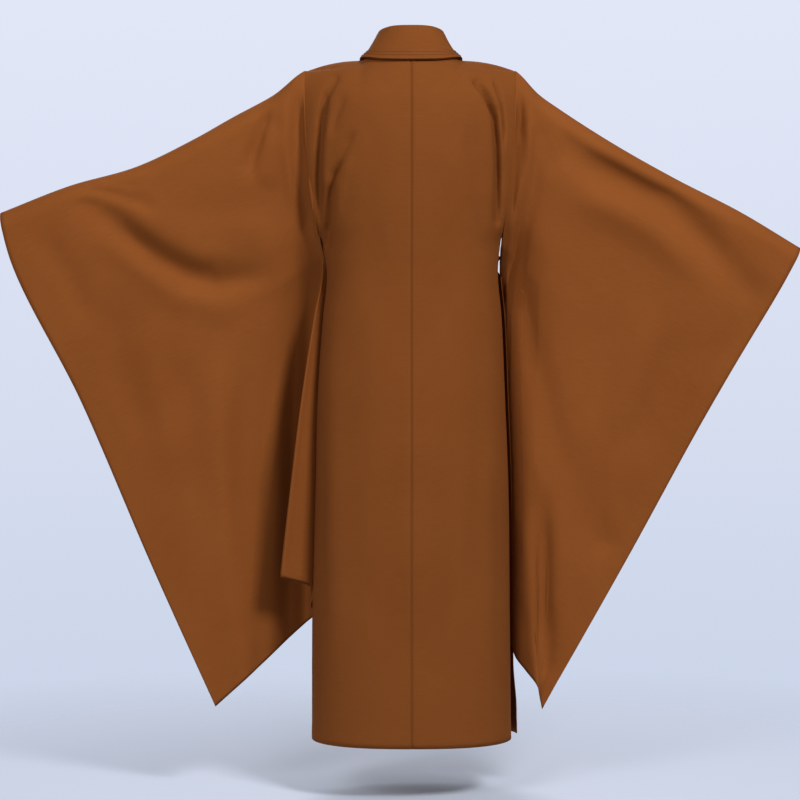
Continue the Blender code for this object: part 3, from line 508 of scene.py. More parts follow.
def shoulder_line(across, drop):
    """Height of a row of a panel, which follows the shoulder ridge at the top."""
    top = ridge_height(across)
    inside = np.clip(np.abs(across) / NECK_HALF_WIDTH, 0, 1)
    top = top - NECK_BACK_DROP * (1 - inside ** 2)
    return top * np.clip(1 - drop / BACK_ROUNDING, 0, 1) ** 2 - drop


def body_turns():
    """Angles round a back panel at its columns, closer together beside the armhole."""
    return np.concatenate([np.linspace(0, 0.775, 22)[:-1], np.linspace(0.775, np.pi / 2, 64)])


def back_points(side):
    """Net of a back panel, from the centre seam to the armhole and side seam."""
    share, drop = np.meshgrid(np.sin(body_turns()), body_levels())
    top_across = share * half_width(0.0, side)
    height = shoulder_line(top_across, drop)
    across = share * half_width(height, side)
    depth = body_depth(share, across, height, 1)
    slit = ease((SLIT_HEIGHT - height) / 0.20) * share ** 6
    depth = depth + SEAM_GAP / 2 + 0.003 * slit
    points = np.stack([side * across, depth, height], axis=-1)
    return pull_keeping_edges(points, BACK_CREASES, share)


def pull_keeping_edges(points, creases, share):
    """Sinks creases into a panel but leaves its side edge where it is sewn."""
    sewn = points.copy()
    pulled = pull(points, creases)
    keep = np.abs(share)[..., None] ** 24
    return pulled * (1 - keep) + sewn * keep


def crossing(height):
    """Distance left of the middle of the outer front's collar seam."""
    return read(CROSSING_ROWS, 1, height)


def front_points(side, columns):
    """Net of a front, from its armhole and side seam to its collar seam and free edge.

    The outer front is sewn at the left, side 1, and the inner one at the right, side -1.
    """
    outer = side > 0
    part, drop = np.meshgrid(np.linspace(0, 1, columns + 1), body_levels())
    near_width, far_width = half_width(-drop, side), half_width(-drop, -side)
    if outer:
        side_edge = -OUTER_EDGE_SHARE * far_width
        free = np.where(-drop > CROSSING_FOOT, np.maximum(crossing(-drop), side_edge), side_edge)
        spacing = ease(part) * 0.8 + part * 0.2
    else:
        free = np.maximum(crossing(-drop), -INNER_EDGE)
        spacing = 1 - np.cos(part * np.pi / 2)
    level_across = near_width + (free - near_width) * spacing
    share = level_across / np.where(level_across > 0, near_width, far_width)
    height = shoulder_line(share * half_width(0.0, side), drop)
    across = share * np.where(share > 0, half_width(height, side), half_width(height, -side))
    depth = body_depth(share, across, height, -1, 0.0 if outer else UNDERLAP * (1 - share ** 8))
    slit = ease((SLIT_HEIGHT - height) / 0.20)
    near = np.abs(np.clip(share, -1, 1)) ** 6
    depth = depth - SEAM_GAP / 2 - 0.006 * slit * near
    if outer:
        flare = SLIT_FLARE * ease((FLARE_HEIGHT - height) / 0.10)
        across = across - (UNDERLAP + flare) * ease(-share / 0.8)
    points = np.stack([side * across, depth, height], axis=-1)
    return pull_keeping_edges(points, FRONT_CREASES, np.clip(share, 0, 1))


def sleeve_stations(side, share):
    """Stations of one level of a sleeve's middle layer, from its sewn edge to the cuff."""
    arm = LEFT_ARM_ROWS if side > 0 else RIGHT_ARM_ROWS
    cuff = LEFT_CUFF_ROWS if side > 0 else RIGHT_CUFF_ROWS
    folds = LEFT_FOLD_ROWS if side > 0 else RIGHT_FOLD_ROWS
    cuff_x, cuff_z = read(cuff, 1, share), read(cuff, 2, share)
    lower = max(share - ARMPIT_SHARE, 0.0) / (1 - ARMPIT_SHARE)
    upper = min(share / ARMPIT_SHARE, 1.0)
    stations = []
    for arm_share, off_top, depth_top, off_foot, depth_foot, drop, haste_out, haste_in in folds:
        top_x, top_z = read(arm, 1, arm_share), read(arm, 2, arm_share)
        if lower > 0:
            height = ARMPIT_HEIGHT - drop * lower - (arm_share * 0.42) * (1 - lower)
            off = off_top + (off_foot - off_top) * (1 - (1 - lower) ** haste_out)
            x = half_width(height, side) + off
            y = depth_top + (depth_foot - depth_top) * (1 - (1 - lower) ** haste_in)
        else:
            foot_z = ARMPIT_HEIGHT - arm_share * 0.42
            height = top_z + (foot_z - top_z) * upper
            foot_x = half_width(foot_z, side) + off_top
            hang = half_width(height, side) - half_width(foot_z, side)
            x = top_x + (foot_x - top_x) * upper
            if arm_share == 0:
                x = half_width(height, side) + SEAM_GAP + (off_top - SEAM_GAP) * upper ** 6
            else:
                x = x + hang * upper * (1 - upper)
            y = depth_top * upper ** 2
        stations.append((x, y, height))
    last_x, last_y, last_z = stations[-1]
    start = folds[-1][0]
    for arm_share in (0.36, 0.55, 0.77, 1.0):
        part = (arm_share - start) / (1 - start)
        line_x = last_x + (cuff_x - last_x) * part
        line_z = last_z + (cuff_z - last_z) * part
        top_x, top_z = read(arm, 1, arm_share), read(arm, 2, arm_share)
        first_x, first_z = read(arm, 1, start), read(arm, 2, start)
        chord_x = first_x + (read(arm, 1, 1.0) - first_x) * part
        chord_z = first_z + (read(arm, 2, 1.0) - first_z) * part
        near_arm = (1 - share) ** 3
        x = line_x + (top_x - chord_x) * near_arm
        z = line_z + (top_z - chord_z) * near_arm
        y = last_y * (1 - ease(part / 0.4)) + 0.008 * ease(part)
        stations.append((x, y, z))
    return np.array(stations)


def sleeve_half_depth(side, share, place, height):
    """Half the distance between a sleeve's back and front layers."""
    arm_radius = ARM_HALF_DEPTH + (WRIST_HALF_DEPTH - ARM_HALF_DEPTH) * place / 10
    down = share * BAG_LENGTH
    round_top = np.sqrt(1 - (1 - min(down / arm_radius, 1.0)) ** 2)
    round_foot = np.sqrt(min((1 - share) * BAG_LENGTH / SEAM_ROUNDING, 1.0))
    main = arm_radius * round_top * read(FULLNESS_ROWS, 1, share) * round_foot
    at_edge = armhole_half_depth(height) if share < ARMPIT_SHARE else 0.0
    lower_share = ease((share - ARMPIT_SHARE) / 0.06 + 1)
    spread = 0.6 + 0.4 * ease((share - ARMPIT_SHARE) / 0.4)
    slack = FOLD_HALF_DEPTH * min(place / 0.5, 1.0) * round_foot * spread
    lower = slack + (main - slack) * ease((place - 5) / 3)
    inner = main * (1 - lower_share) + lower * lower_share
    half = max(at_edge + (inner - at_edge) * ease(place / 4), slack * lower_share)
    return max(half, SEAM_GAP / 2)


def sleeve_levels():
    """Shares of the bag's length at the rows of a sleeve, from the arm to the bottom seam."""
    turn = np.linspace(0, np.pi / 2, 14)[:-1]
    over = 0.050 * (1 - np.cos(turn))
    upper = np.linspace(0.050, ARMPIT_SHARE, 34)[:-1]
    armpit = np.linspace(ARMPIT_SHARE, 0.5, 34)[:-1]
    bag = np.linspace(0.5, 0.95, 40)[:-1]
    return np.concatenate([over, upper, armpit, bag, 0.95 + 0.05 * np.linspace(0, 1, 9)])


def sleeve_places():
    """Where the columns of a sleeve lie, counted in stations."""
    return np.concatenate([np.linspace(0, 6, 84)[:-1], np.linspace(6, 10, 60)])


def sleeve_points(side):
    """Nets of a sleeve's back and front halves, each from over the arm to the bottom seam."""
    places = sleeve_places()
    layers = {1: [], -1: []}
    folds = LEFT_SLEEVE_FOLDS if side > 0 else RIGHT_SLEEVE_FOLDS
    for share in sleeve_levels():
        stations = sleeve_stations(side, share)
        middle = np.array([follow(stations, place) for place in places])
        step = 0.05
        ahead = np.array([follow(stations, min(place + step, 10)) for place in places])
        behind = np.array([follow(stations, max(place - step, 0)) for place in places])
        run = (ahead - behind)[:, :2]
        run /= np.linalg.norm(run, axis=1, keepdims=True)
        level = 1 - ease((share - ARMPIT_SHARE) / 0.08)
        run = run * (1 - level) + np.array((1.0, 0.0)) * level
        half = np.array([sleeve_half_depth(side, share, place, point[2])
                         for place, point in zip(places, middle)])
        sunk = crease_depth(folds, middle[:, 0], middle[:, 2])
        sunk *= ease((places - 4.5) / 1.5) * min((1 - share) / 0.08, 1.0) * min(share / 0.05, 1.0)
        for layer in layers:
            offset = layer * half - sunk * (1.0 if layer > 0 else 0.7)
            points = middle.copy()
            points[:, 0] += -run[:, 1] * offset
            points[:, 1] += run[:, 0] * offset
            layers[layer].append(points)
    halves = [np.array(layers[1]), np.array(layers[-1])]
    for net in halves:
        net[..., 0] *= side
    return halves


def collar_lines(side, outer):
    """Foot and free edge of half the collar, from the back of the neck to its front end."""
    feet, edges = [], []
    last = OUTER_COLLAR_END if outer else INNER_COLLAR_END
    for foot_x, foot_z, edge_x, edge_z, stand, flat in COLLAR_ROWS[:last + 1]:
        on_back = stand > -0.020
        feet.append((side * foot_x - lap_shift(side * foot_x, foot_z, outer),
                     surface(side * foot_x, foot_z, on_back, outer), foot_z))
        lying = surface(side * edge_x, min(edge_z, -0.03), False, outer)
        edges.append((side * edge_x - lap_shift(side * edge_x, edge_z, outer),
                      stand * (1 - flat) + lying * flat, edge_z))
        reach = np.array(edges[-1]) - np.array(feet[-1])
        feet[-1] = np.array(feet[-1]) - FOOT_OVERLAP * flat * reach
    return np.hstack([feet, edges])


def lap_shift(x, z, outer):
    """How far past the body's right side the outer front and its collar stand."""
    return UNDERLAP * float(ease(-x / half_width(z, -1) / 0.8)) if outer else 0.0


def surface(x, z, on_back, outer):
    """Depth of the body's outer surface at a place of the collar."""
    x, z = np.array([x]), np.array([z])
    share = x / half_width(z, 1 if x[0] > 0 else -1)
    return float(body_depth(share, x, z, 1 if on_back else -1, 0.0 if outer else UNDERLAP)[0])


def collar_net(shares):
    """Net of the collar at some shares of its width, and the way out from it at each point."""
    lines = np.concatenate([collar_lines(1, True)[::-1], collar_lines(-1, False)[1:]])
    spots = np.arange(0, len(lines) - 1 + 1e-9, 1 / COLLAR_LENGTH_STEPS)
    lines = np.array([follow(lines, spot) for spot in spots])
    shares = np.array(shares)[:, None, None]
    net = lines[:, :3] * (1 - shares) + lines[:, 3:] * shares
    lies = [row[-1] for row in COLLAR_ROWS]
    for row in net:
        for spot, point in zip(spots - OUTER_COLLAR_END, row):
            outer = spot < 0
            shift = lap_shift(point[0], point[2], outer)
            lying = surface(point[0] + shift, min(point[2], -0.03), False, outer)
            share = np.interp(abs(spot), range(len(lies)), lies)
            point[1] += (lying - point[1]) * ease(share * 1.2)
    pull(net, FRONT_CREASES)
    out = np.cross(np.gradient(net, axis=1), np.gradient(net, axis=0))
    out /= np.linalg.norm(out, axis=-1, keepdims=True)
    return net, out


def on_front(x, z, lift):
    """A point at a height above the outer front, right of the middle."""
    def bare(x, z):
        across = x + lap_shift(x, z, True)
        return np.array((x, surface(across, z, False, True), z))
    here = bare(x, z)
    out = np.cross(bare(x, z + 0.002) - here, bare(x + 0.002, z) - here)
    return here - out / np.linalg.norm(out) * lift * np.sign(out[1])


def tape_points(course, lift):
    """Net of a flat tape along a course over the outer front."""
    spots = np.linspace(0, len(course) - 1, 3 * (len(course) - 1) + 1)
    middle = np.array([follow(course, spot) for spot in spots])
    along = np.gradient(middle, axis=0)
    along /= np.linalg.norm(along, axis=1, keepdims=True)
    aside = np.stack([-along[:, 1], along[:, 0]], axis=1) * TIE_WIDTH / 2
    rows = [middle + aside * share for share in (-1, 0, 1)]
    return np.array([[on_front(x, z, lift) for x, z in row] for row in rows])


def tapered(creases, across, height):
    """How deep some creases are at some places. Each one fades out at its two ends.

    A crease may be steep on one side of its course and soft on the other.
    """
    total = np.zeros_like(across)
    for depth, before, after, course in creases:
        nearest = np.full_like(across, 1e9)
        where = np.zeros_like(across)
        breadth = np.full_like(across, before)
        spans = len(course) - 1
        for count, ((x0, z0), (x1, z1)) in enumerate(zip(course[:-1], course[1:])):
            run, fall = x1 - x0, z1 - z0
            off_x, off_z = across - x0, height - z0
            along = np.clip((off_x * run + off_z * fall) / (run * run + fall * fall), 0, 1)
            gap = (off_x - along * run) ** 2 + (off_z - along * fall) ** 2
            closer = gap < nearest
            nearest = np.where(closer, gap, nearest)
            where = np.where(closer, (count + along) / spans, where)
            breadth = np.where(closer, np.where(run * off_z > fall * off_x, before, after), breadth)
        fade = ease(where / 0.30) * ease((1 - where) / 0.30)
        total = total + depth * fade * np.exp(-nearest / (2 * breadth * breadth))
    return total


def lengths(net):
    """Distances along a net of cloth: across its rows, and down its columns."""
    over = np.linalg.norm(np.diff(net, axis=1), axis=-1)
    down = np.linalg.norm(np.diff(net, axis=0), axis=-1)
    over = np.concatenate([np.zeros((len(net), 1)), np.cumsum(over, axis=1)], axis=1)
    down = np.concatenate([np.zeros((1, net.shape[1])), np.cumsum(down, axis=0)], axis=0)
    return over, down


def way_out(net, outward):
    """Unit vectors off a net of cloth, on the side that a rough direction gives."""
    out = np.cross(np.gradient(net, axis=1), np.gradient(net, axis=0))
    out /= np.maximum(np.linalg.norm(out, axis=-1, keepdims=True), 1e-12)
    middle = out[len(out) // 2, out.shape[1] // 2]
    return out * np.sign(np.dot(middle, outward))


def hem(distance):
    """Relief of a turned hem at some distances from its folded edge."""
    step = HEM_STEP * (1 - ease((distance - HEM_DEPTH) / 0.003))
    stitch = 0.0003 * np.exp(-((distance - HEM_DEPTH + 0.002) / 0.0012) ** 2)
    return step - stitch


def seam(distance, along, pressed=0.0):
    """Relief beside a seam: small puckers, and on one side the allowance that lies beneath."""
    wave = np.sin(2 * np.pi * along / PUCKER_STEP + 2.0 * np.sin(along * 37.0))
    pucker = PUCKER * wave * np.exp(-(distance / 0.009) ** 2)
    allowance = SEAM_RISE * (1 - ease((distance - SEAM_ALLOWANCE) / 0.004))
    return (pucker + pressed * allowance) * ease(distance / 0.0025)


def settle(net, rows, share):
    """Evens out the depth of a net down its rows, more where a share of each point says so."""
    depth = net[..., 1]
    for _ in range(rows):
        mean = depth.copy()
        mean[1:-1] = (depth[:-2] + 2 * depth[1:-1] + depth[2:]) / 4
        depth = depth + (mean - depth) * share
    net[..., 1] = depth
    return net


def shell(name, net, wall, node, flip=False):
    """A thin shell of cloth on a net, with its own lengths as its map, in place of some nodes."""
    rows, columns = net.shape[:2]
    over, down = lengths(net)
    work = bmesh.new()
    bmesh.ops.create_grid(work, x_segments=columns - 1, y_segments=rows - 1, size=0.5)
    weave = work.loops.layers.uv.new("weave")
    for face in work.faces:
        face.smooth = True
        for loop in face.loops:
            column = round((loop.vert.co.x + 0.5) * (columns - 1))
            row = round((loop.vert.co.y + 0.5) * (rows - 1))
            loop[weave].uv = (over[row, column], down[row, column])
    for vert in work.verts:
        column = round((vert.co.x + 0.5) * (columns - 1))
        row = round((vert.co.y + 0.5) * (rows - 1))
        vert.co = net[row, column]
    bmesh.ops.remove_doubles(work, verts=work.verts, dist=0.00001)
    if flip:
        bmesh.ops.reverse_faces(work, faces=work.faces)
    mesh = bpy.data.meshes.new(name)
    work.to_mesh(mesh)
    work.free()
    piece = bpy.data.objects.new(name, mesh)
    bpy.context.scene.collection.objects.link(piece)
    thick = piece.modifiers.new("wall", "SOLIDIFY")
    thick.thickness = abs(wall)
    thick.offset = 1 if wall > 0 else -1
    thick.use_even_offset = False
    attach(piece, "root")
    nodes = [node] if isinstance(node, str) else node
    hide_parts(*nodes)
    return piece


def back_shell(side):
    """A back panel from the centre seam to the armhole and side seam."""
    net = back_points(side)
    share = np.sin(body_turns())[None, :]
    near_armpit = np.exp(-((net[..., 2] - ARMPIT_HEIGHT) / 0.06) ** 2)
    net = settle(net, 60, near_armpit * (1 - share ** 10))
    out = way_out(net, (0, 1, 0))
    over, down = lengths(net)
    across, height = net[..., 0], net[..., 2]
    to_side = over[:, -1:] - over
    relief = -tapered(BACK_FINE, across, height) * ease(to_side / 0.012)
    relief += seam(over, down, 1.0 if side > 0 else 0.0) + seam(to_side, down)
    relief += hem(down[-1:] - down)
    net = net + out * relief[..., None]
    net[:, 0, 0] = 0.0
    name = "back_left" if side > 0 else "back_right"
    return shell(name + "_cloth", net, -WALL, name, flip=side < 0)


def front_shell(side):
    """A front from its armhole and side seam to its collar seam and free edge."""
    net = front_points(side, 96 if side > 0 else 60)
    out = way_out(net, (0, -1, 0))
    over, down = lengths(net)
    across, height = net[..., 0], net[..., 2]
    near_armpit = np.exp(-((height - ARMPIT_HEIGHT) / 0.06) ** 2)
    net = settle(net, 60, near_armpit * ease(over / 0.03))
    to_edge = over[:, -1:] - over
    free = ease((CROSSING_FOOT + 0.02 - height) / 0.02) if side > 0 else 0.0
    relief = -tapered(FRONT_FINE, across, height) * ease(over / 0.02)
    relief += seam(over, down, 1.0) + hem(down[-1:] - down)
    relief += free * hem(to_edge)
    net = net + out * relief[..., None]
    name = "front_outer" if side > 0 else "front_inner"
    return shell(name + "_cloth", net, -WALL, name, flip=side < 0)


def sleeve_shell(side):
    """A whole bag sleeve: up its back from the bottom seam, over the arm and down its front."""
    halves = sleeve_points(side)
    fine = (LEFT_BACK_FINE, LEFT_FRONT_FINE) if side > 0 else (RIGHT_BACK_FINE, RIGHT_FRONT_FINE)
    shares = sleeve_levels()[:, None]
    places = sleeve_places()[None, :]
    done = []
    for half, creases, face in zip(halves, fine, (1, -1)):
        near_armpit = np.exp(-((shares - ARMPIT_SHARE) / 0.06) ** 2)
        half = settle(half, 60, near_armpit * ease(places / 0.5))
        if side < 0:
            inner_bag = ease((shares - ARMPIT_SHARE + 0.04) / 0.05) * ease((0.85 - shares) / 0.15)
            inner_bag = inner_bag * ease((places - 3.0) / 1.0) * ease((9.0 - places) / 1.0)
            half = settle(half, RIGHT_BAG_EVENING, inner_bag)
            across = settle(half.swapaxes(0, 1), RIGHT_BAG_EVENING, inner_bag.T)
            half = across.swapaxes(0, 1)
        out = way_out(half, (0, face, 0))
        over, down = lengths(half)
        depth = tapered(creases, side * half[..., 0], half[..., 2])
        quiet = ease((places - 2.5) / 3.0) + ease((ARMPIT_SHARE - 0.03 - shares) / 0.06)
        quiet = np.clip(quiet, 0, 1) * ease(over / 0.008)
        relief = -depth * quiet * ease(shares / 0.04) * ease((1 - shares) / 0.05)
        at_arm = 1 - ease((shares - ARMPIT_SHARE + 0.02) / 0.02)
        relief += seam(over, down, 1.0) * at_arm
        relief += hem(over[:, -1:] - over) * ease(shares / 0.02)
        done.append(half + out * relief[..., None])
    back, front = done
    between = halves[0][..., 1] - halves[1][..., 1]
    lack = np.minimum(between, LEAST_HOLLOW) - (back[..., 1] - front[..., 1])
    front[..., 1] -= np.maximum(lack, 0)
    back[0] = front[0] = (back[0] + front[0]) / 2
    back[-1] = front[-1] = (back[-1] + front[-1]) / 2
    sewn = sleeve_levels() > ARMPIT_SHARE
    back[sewn, 0] = front[sewn, 0] = (back[sewn, 0] + front[sewn, 0]) / 2
    net = np.concatenate([back[::-1], front[1:]])
    name = "sleeve_left" if side > 0 else "sleeve_right"
    nodes = [name + "_back", name + "_front"]
    return shell(name + "_cloth", net, -WALL, nodes, flip=side > 0)


def collar_shells():
    """The collar band and its three plies, which stand one on the other at its foot."""
    steps = [FOOT_SHARE] + [(count + 1) * PLY_STEP / COLLAR_WIDTH for count in range(len(PLY_NAMES))]
    shares = np.concatenate([np.linspace(FOOT_SHARE, steps[-1], 46), np.linspace(steps[-1], 1.0, 22)[1:]])
    net, out = collar_net(shares)
    over, down = lengths(net)
    width = down[-1:]
    soft = 0.0006 * np.sin(over * 31.0 + 1.2 * np.sin(over * 11.0)) * np.sin(np.pi * down / width)
    edge = 0.0007 * np.exp(-((width - down - 0.004) / 0.0016) ** 2)
    groove = ply_groove(down, steps[-1] * width)
    band = net + out * (COLLAR_LIFT + soft - edge - groove)[..., None]
    pieces = [shell("collar_band_cloth", band, -WALL, "collar_band")]
    lines = [band[-4]]
    for count, name in enumerate(PLY_NAMES):
        until = steps[len(steps) - count - 1]
        kept = int(np.sum(shares <= until + 1e-6))
        lift = COLLAR_LIFT + (count + 1) * (PLY_WALL + PLY_GAP)
        if count + 1 < len(PLY_NAMES):
            lift = lift - ply_groove(down, steps[len(steps) - count - 2] * width)
        ply = net[:kept] + out[:kept] * np.broadcast_to(lift, down.shape)[:kept, :, None]
        pieces.append(shell(name + "_cloth", ply, -PLY_WALL, name))
        lines.append(ply[-4] + out[kept - 4] * 0.0001)
    return pieces, lines


def ply_groove(down, edge):
    """Shadow groove in a layer just above the edge of the ply that lies on it."""
    return PLY_GROOVE * np.exp(-((down - edge - 0.0009) / 0.0009) ** 2)


def tie_shells():
    """The two tapes at the right side and the turn that holds them together."""
    pieces = []
    for name, layer, course in TIES:
        points = tape_points(course, TIE_LIFT + layer * (TIE_WALL + TIE_GAP))
        pieces.append(shell(name + "_tape", points, -TIE_WALL, name))
    foot = TIE_LIFT + (len(TIES) + 1) * (TIE_WALL + TIE_GAP)
    turn = np.linspace(-np.pi / 2, np.pi / 2, 17)
    rows = []
    for down in np.linspace(-WRAP_HALF_LENGTH, WRAP_HALF_LENGTH, 7):
        swell = 0.0004 * np.cos(down / WRAP_HALF_LENGTH * 1.4)
        rows.append([on_front(TIE_WRAP[0] + WRAP_HALF_WIDTH * np.sin(angle), TIE_WRAP[1] + down,
                              foot + swell + WRAP_HEIGHT * np.cos(angle)) for angle in turn])
    return pieces + [shell("tie_wrap_tape", np.array(rows), -TIE_WALL, "tie_wrap")]


def woven(name, painted_light=1.0):
    """Matt plain-woven brown cloth on a piece's own lengths, with faint slubs and broad random tone; the
    colour can be scaled up to paint brighter light onto a piece.
    """
    material = bpy.data.materials.new(name)
    material.use_nodes = True
    nodes, links = material.node_tree.nodes, material.node_tree.links
    shader = nodes["Principled BSDF"]
    place = nodes.new("ShaderNodeUVMap")
    place.uv_map = "weave"
    threads = []
    for direction in ("X", "Y"):
        wave = nodes.new("ShaderNodeTexWave")
        wave.bands_direction = direction
        wave.inputs["Scale"].default_value = 450.0
        wave.inputs["Distortion"].default_value = 0.6
        links.new(place.outputs["UV"], wave.inputs["Vector"])
        threads.append(wave)
    crossed = nodes.new("ShaderNodeMath")
    crossed.operation = "MULTIPLY"
    links.new(threads[0].outputs["Fac"], crossed.inputs[0])
    links.new(threads[1].outputs["Fac"], crossed.inputs[1])
    stretch = nodes.new("ShaderNodeMapping")
    stretch.inputs["Scale"].default_value = (30.0, 700.0, 1.0)
    links.new(place.outputs["UV"], stretch.inputs["Vector"])
    slub = nodes.new("ShaderNodeTexNoise")
    slub.inputs["Scale"].default_value = 1.0
    slub.inputs["Detail"].default_value = 3.0
    links.new(stretch.outputs["Vector"], slub.inputs["Vector"])
    broad = nodes.new("ShaderNodeTexNoise")
    broad.inputs["Scale"].default_value = 5.0
    broad.inputs["Detail"].default_value = 2.0
    links.new(place.outputs["UV"], broad.inputs["Vector"])
    blend = nodes.new("ShaderNodeMath")
    blend.operation = "MULTIPLY_ADD"
    blend.inputs[1].default_value = 0.55
    links.new(slub.outputs["Fac"], blend.inputs[0])
    half = nodes.new("ShaderNodeMath")
    half.operation = "MULTIPLY"
    half.inputs[1].default_value = 0.45
    links.new(broad.outputs["Fac"], half.inputs[0])
    links.new(half.outputs["Value"], blend.inputs[2])
    ramp = nodes.new("ShaderNodeValToRGB")
    low, high = ramp.color_ramp.elements
    low.position, high.position = 0.25, 0.75
    low.color = [painted_light * part for part in DEEP_BROWN] + [1.0]
    high.color = [painted_light * part for part in BROWN] + [1.0]
    links.new(blend.outputs["Value"], ramp.inputs["Fac"])
    links.new(ramp.outputs["Color"], shader.inputs["Base Color"])
    relief = nodes.new("ShaderNodeBump")
    relief.inputs["Strength"].default_value = 0.25
    relief.inputs["Distance"].default_value = 0.0002
    links.new(crossed.outputs["Value"], relief.inputs["Height"])
    links.new(relief.outputs["Normal"], shader.inputs["Normal"])
    shader.inputs["Roughness"].default_value = 0.85
    shader.inputs["Specular IOR Level"].default_value = 0.03
    shader.inputs["Sheen Weight"].default_value = 0.05
    shader.inputs["Sheen Roughness"].default_value = 0.5
    shader.inputs["Sheen Tint"].default_value = (0.80, 0.42, 0.20, 1.0)
    return material


def thread():
    """Brown sewing thread, a shade darker than the cloth."""
    material = bpy.data.materials.new("thread")
    material.use_nodes = True
    nodes, links = material.node_tree.nodes, material.node_tree.links
    shader = nodes["Principled BSDF"]
    place = nodes.new("ShaderNodeTexCoord")
    noise = nodes.new("ShaderNodeTexNoise")
    noise.inputs["Scale"].default_value = 900.0
    links.new(place.outputs["Object"], noise.inputs["Vector"])
    ramp = nodes.new("ShaderNodeValToRGB")
    low, high = ramp.color_ramp.elements
    low.color = [0.75 * part for part in THREAD_BROWN] + [1.0]
    high.color = [1.15 * part for part in THREAD_BROWN] + [1.0]
    links.new(noise.outputs["Fac"], ramp.inputs["Fac"])
    links.new(ramp.outputs["Color"], shader.inputs["Base Color"])
    shader.inputs["Roughness"].default_value = 0.6
    return material


def stitches(name, lines):
    """Rows of small stitches along some lines on the cloth, as one piece."""
    work = bmesh.new()
    for line in lines:
        steps = np.linalg.norm(np.diff(line, axis=0), axis=1)
        run = np.concatenate([[0], np.cumsum(steps)])
        for start in np.arange(0.002, run[-1] - STITCH_LENGTH, STITCH_PITCH):
            ends = [np.array([np.interp(start + off, run, line[:, axis]) for axis in range(3)])
                    for off in (0, STITCH_LENGTH)]
            along = ends[1] - ends[0]
            along /= max(np.linalg.norm(along), 1e-9)
            aside = np.cross(along, (0.0, 0.0, 1.0) if abs(along[2]) < 0.9 else (0.0, 1.0, 0.0))
            aside /= np.linalg.norm(aside)
            over = np.cross(along, aside)
            turn = np.eye(4)
            turn[:3, 0] = along * STITCH_LENGTH
            turn[:3, 1] = aside * 2 * STITCH_HALF_WIDTH
            turn[:3, 2] = over * 2 * STITCH_HALF_WIDTH
            turn[:3, 3] = (ends[0] + ends[1]) / 2
            bmesh.ops.create_cube(work, size=1.0, matrix=Matrix(turn.tolist()))
    bmesh.ops.recalc_face_normals(work, faces=work.faces)
    mesh = bpy.data.meshes.new(name)
    work.to_mesh(mesh)
    work.free()
    piece = bpy.data.objects.new(name, mesh)
    bpy.context.scene.collection.objects.link(piece)
    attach(piece, "root")
    return piece


def flat_material(name, colour):
    material = bpy.data.materials.new(name)
    material.use_nodes = True
    shader = material.node_tree.nodes["Principled BSDF"]
    shader.inputs["Base Color"].default_value = (*colour, 1.0)
    shader.inputs["Roughness"].default_value = 0.9
    shader.inputs["Specular IOR Level"].default_value = 0.1
    return material


def floor():
    """A plain pale studio floor that fades into the background."""
    work = bmesh.new()
    bmesh.ops.create_circle(work, cap_ends=True, segments=96, radius=3.4)
    bmesh.ops.translate(work, verts=work.verts, vec=(0.0, 0.0, FLOOR_HEIGHT))
    mesh = bpy.data.meshes.new("studio_floor")
    work.to_mesh(mesh)
    work.free()
    piece = bpy.data.objects.new("studio_floor", mesh)
    bpy.context.scene.collection.objects.link(piece)
    material = flat_material("pale_floor", (0.56, 0.62, 0.76))
    nodes, links = material.node_tree.nodes, material.node_tree.links
    place = nodes.new("ShaderNodeTexCoord")
    shift = nodes.new("ShaderNodeMapping")
    shift.inputs["Scale"].default_value = (0.52, 0.52, 0.0)
    ball = nodes.new("ShaderNodeTexGradient")
    ball.gradient_type = "SPHERICAL"
    ramp = nodes.new("ShaderNodeValToRGB")
    low, high = ramp.color_ramp.elements
    low.position, high.position = 0.02, 0.98
    low.color, high.color = (0, 0, 0, 1), (1, 1, 1, 1)
    links.new(place.outputs["Object"], shift.inputs["Vector"])
    links.new(shift.outputs["Vector"], ball.inputs["Vector"])
    links.new(ball.outputs["Fac"], ramp.inputs["Fac"])
    links.new(ramp.outputs["Color"], nodes["Principled BSDF"].inputs["Alpha"])
    mesh.materials.append(material)


def soft_light(name, place, target, size, power, colour):
    lamp = bpy.data.lights.new(name, "AREA")
    lamp.size = size
    lamp.energy = power
    lamp.color = colour
    holder = bpy.data.objects.new(name, lamp)
    holder.location = place
    aim = np.array(target) - np.array(place)
    holder.rotation_euler = Vector(aim).to_track_quat("-Z", "Y").to_euler()
    bpy.context.scene.collection.objects.link(holder)


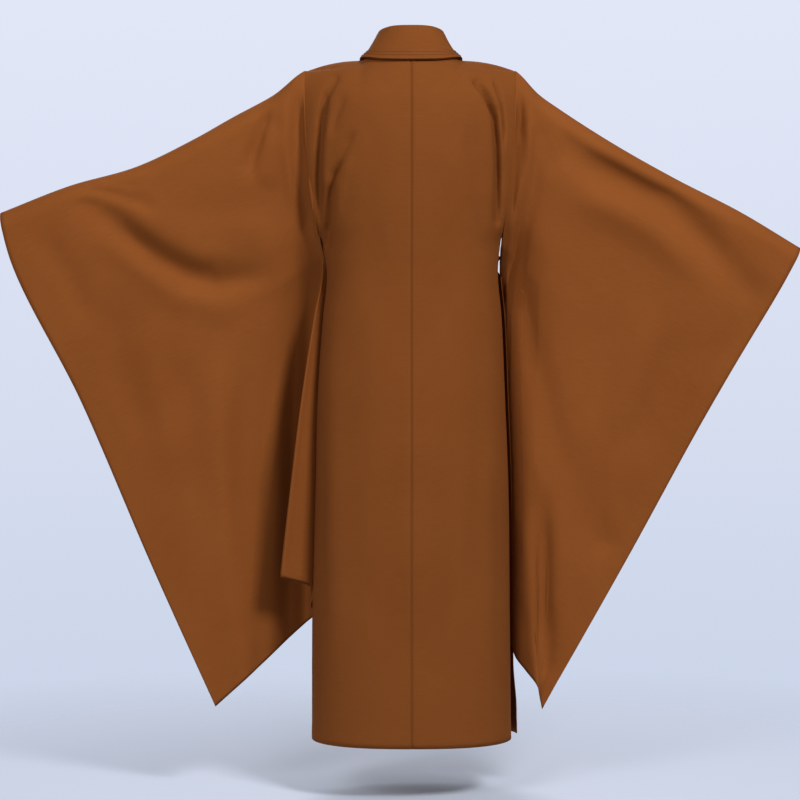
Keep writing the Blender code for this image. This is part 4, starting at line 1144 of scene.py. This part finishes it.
def studio():
    """Pale background, soft lights and the photo's camera."""
    scene = bpy.context.scene
    world = bpy.data.worlds.new("studio")
    world.use_nodes = True
    nodes, links = world.node_tree.nodes, world.node_tree.links
    place = nodes.new("ShaderNodeTexCoord")
    split = nodes.new("ShaderNodeSeparateXYZ")
    links.new(place.outputs["Generated"], split.inputs["Vector"])
    reach = nodes.new("ShaderNodeMapRange")
    reach.inputs["From Min"].default_value = -0.20
    reach.inputs["From Max"].default_value = 0.20
    links.new(split.outputs["Z"], reach.inputs["Value"])
    ramp = nodes.new("ShaderNodeValToRGB")
    low, high = ramp.color_ramp.elements
    low.color, high.color = BACKGROUND_FOOT, BACKGROUND_TOP
    links.new(reach.outputs["Result"], ramp.inputs["Fac"])
    paper = nodes["Background"]
    links.new(ramp.outputs["Color"], paper.inputs["Color"])
    air = nodes.new("ShaderNodeBackground")
    air.inputs["Color"].default_value = (1.0, 0.96, 0.92, 1.0)
    air.inputs["Strength"].default_value = ROOM_LIGHT
    seen = nodes.new("ShaderNodeLightPath")
    choose = nodes.new("ShaderNodeMixShader")
    links.new(seen.outputs["Is Camera Ray"], choose.inputs["Fac"])
    links.new(air.outputs["Background"], choose.inputs[1])
    links.new(paper.outputs["Background"], choose.inputs[2])
    links.new(choose.outputs["Shader"], nodes["World Output"].inputs["Surface"])
    scene.world = world
    scene.view_settings.view_transform = "Standard"
    floor()
    for lamp in LIGHTS:
        soft_light(*lamp)
    camera = bpy.data.objects.new("camera", bpy.data.cameras.new("camera"))
    camera.data.lens = CAMERA_LENS
    camera.location = CAMERA_PLACE
    camera.rotation_euler = (np.pi / 2, 0.0, np.pi)
    scene.collection.objects.link(camera)
    scene.camera = camera


def dress():
    for side in (1, -1):
        for piece in (back_shell(side), front_shell(side), sleeve_shell(side)):
            # The sleeves get a brighter colour: painted light
            painted_light = SLEEVE_PAINTED_LIGHT if "sleeve" in piece.name else 1.0
            piece.data.materials.append(woven(piece.name, painted_light))
    bands, lines = collar_shells()
    for piece in bands + tie_shells():
        piece.data.materials.append(woven(piece.name))
    collar_stitches = stitches("collar_stitches", lines)
    collar_stitches.data.materials.append(thread())


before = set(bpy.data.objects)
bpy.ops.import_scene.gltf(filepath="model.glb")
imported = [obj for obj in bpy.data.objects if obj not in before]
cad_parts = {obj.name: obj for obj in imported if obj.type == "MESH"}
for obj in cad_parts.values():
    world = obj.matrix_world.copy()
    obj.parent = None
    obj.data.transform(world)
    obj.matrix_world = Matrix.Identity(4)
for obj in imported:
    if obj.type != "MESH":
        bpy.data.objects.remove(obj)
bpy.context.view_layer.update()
studio()
dress()
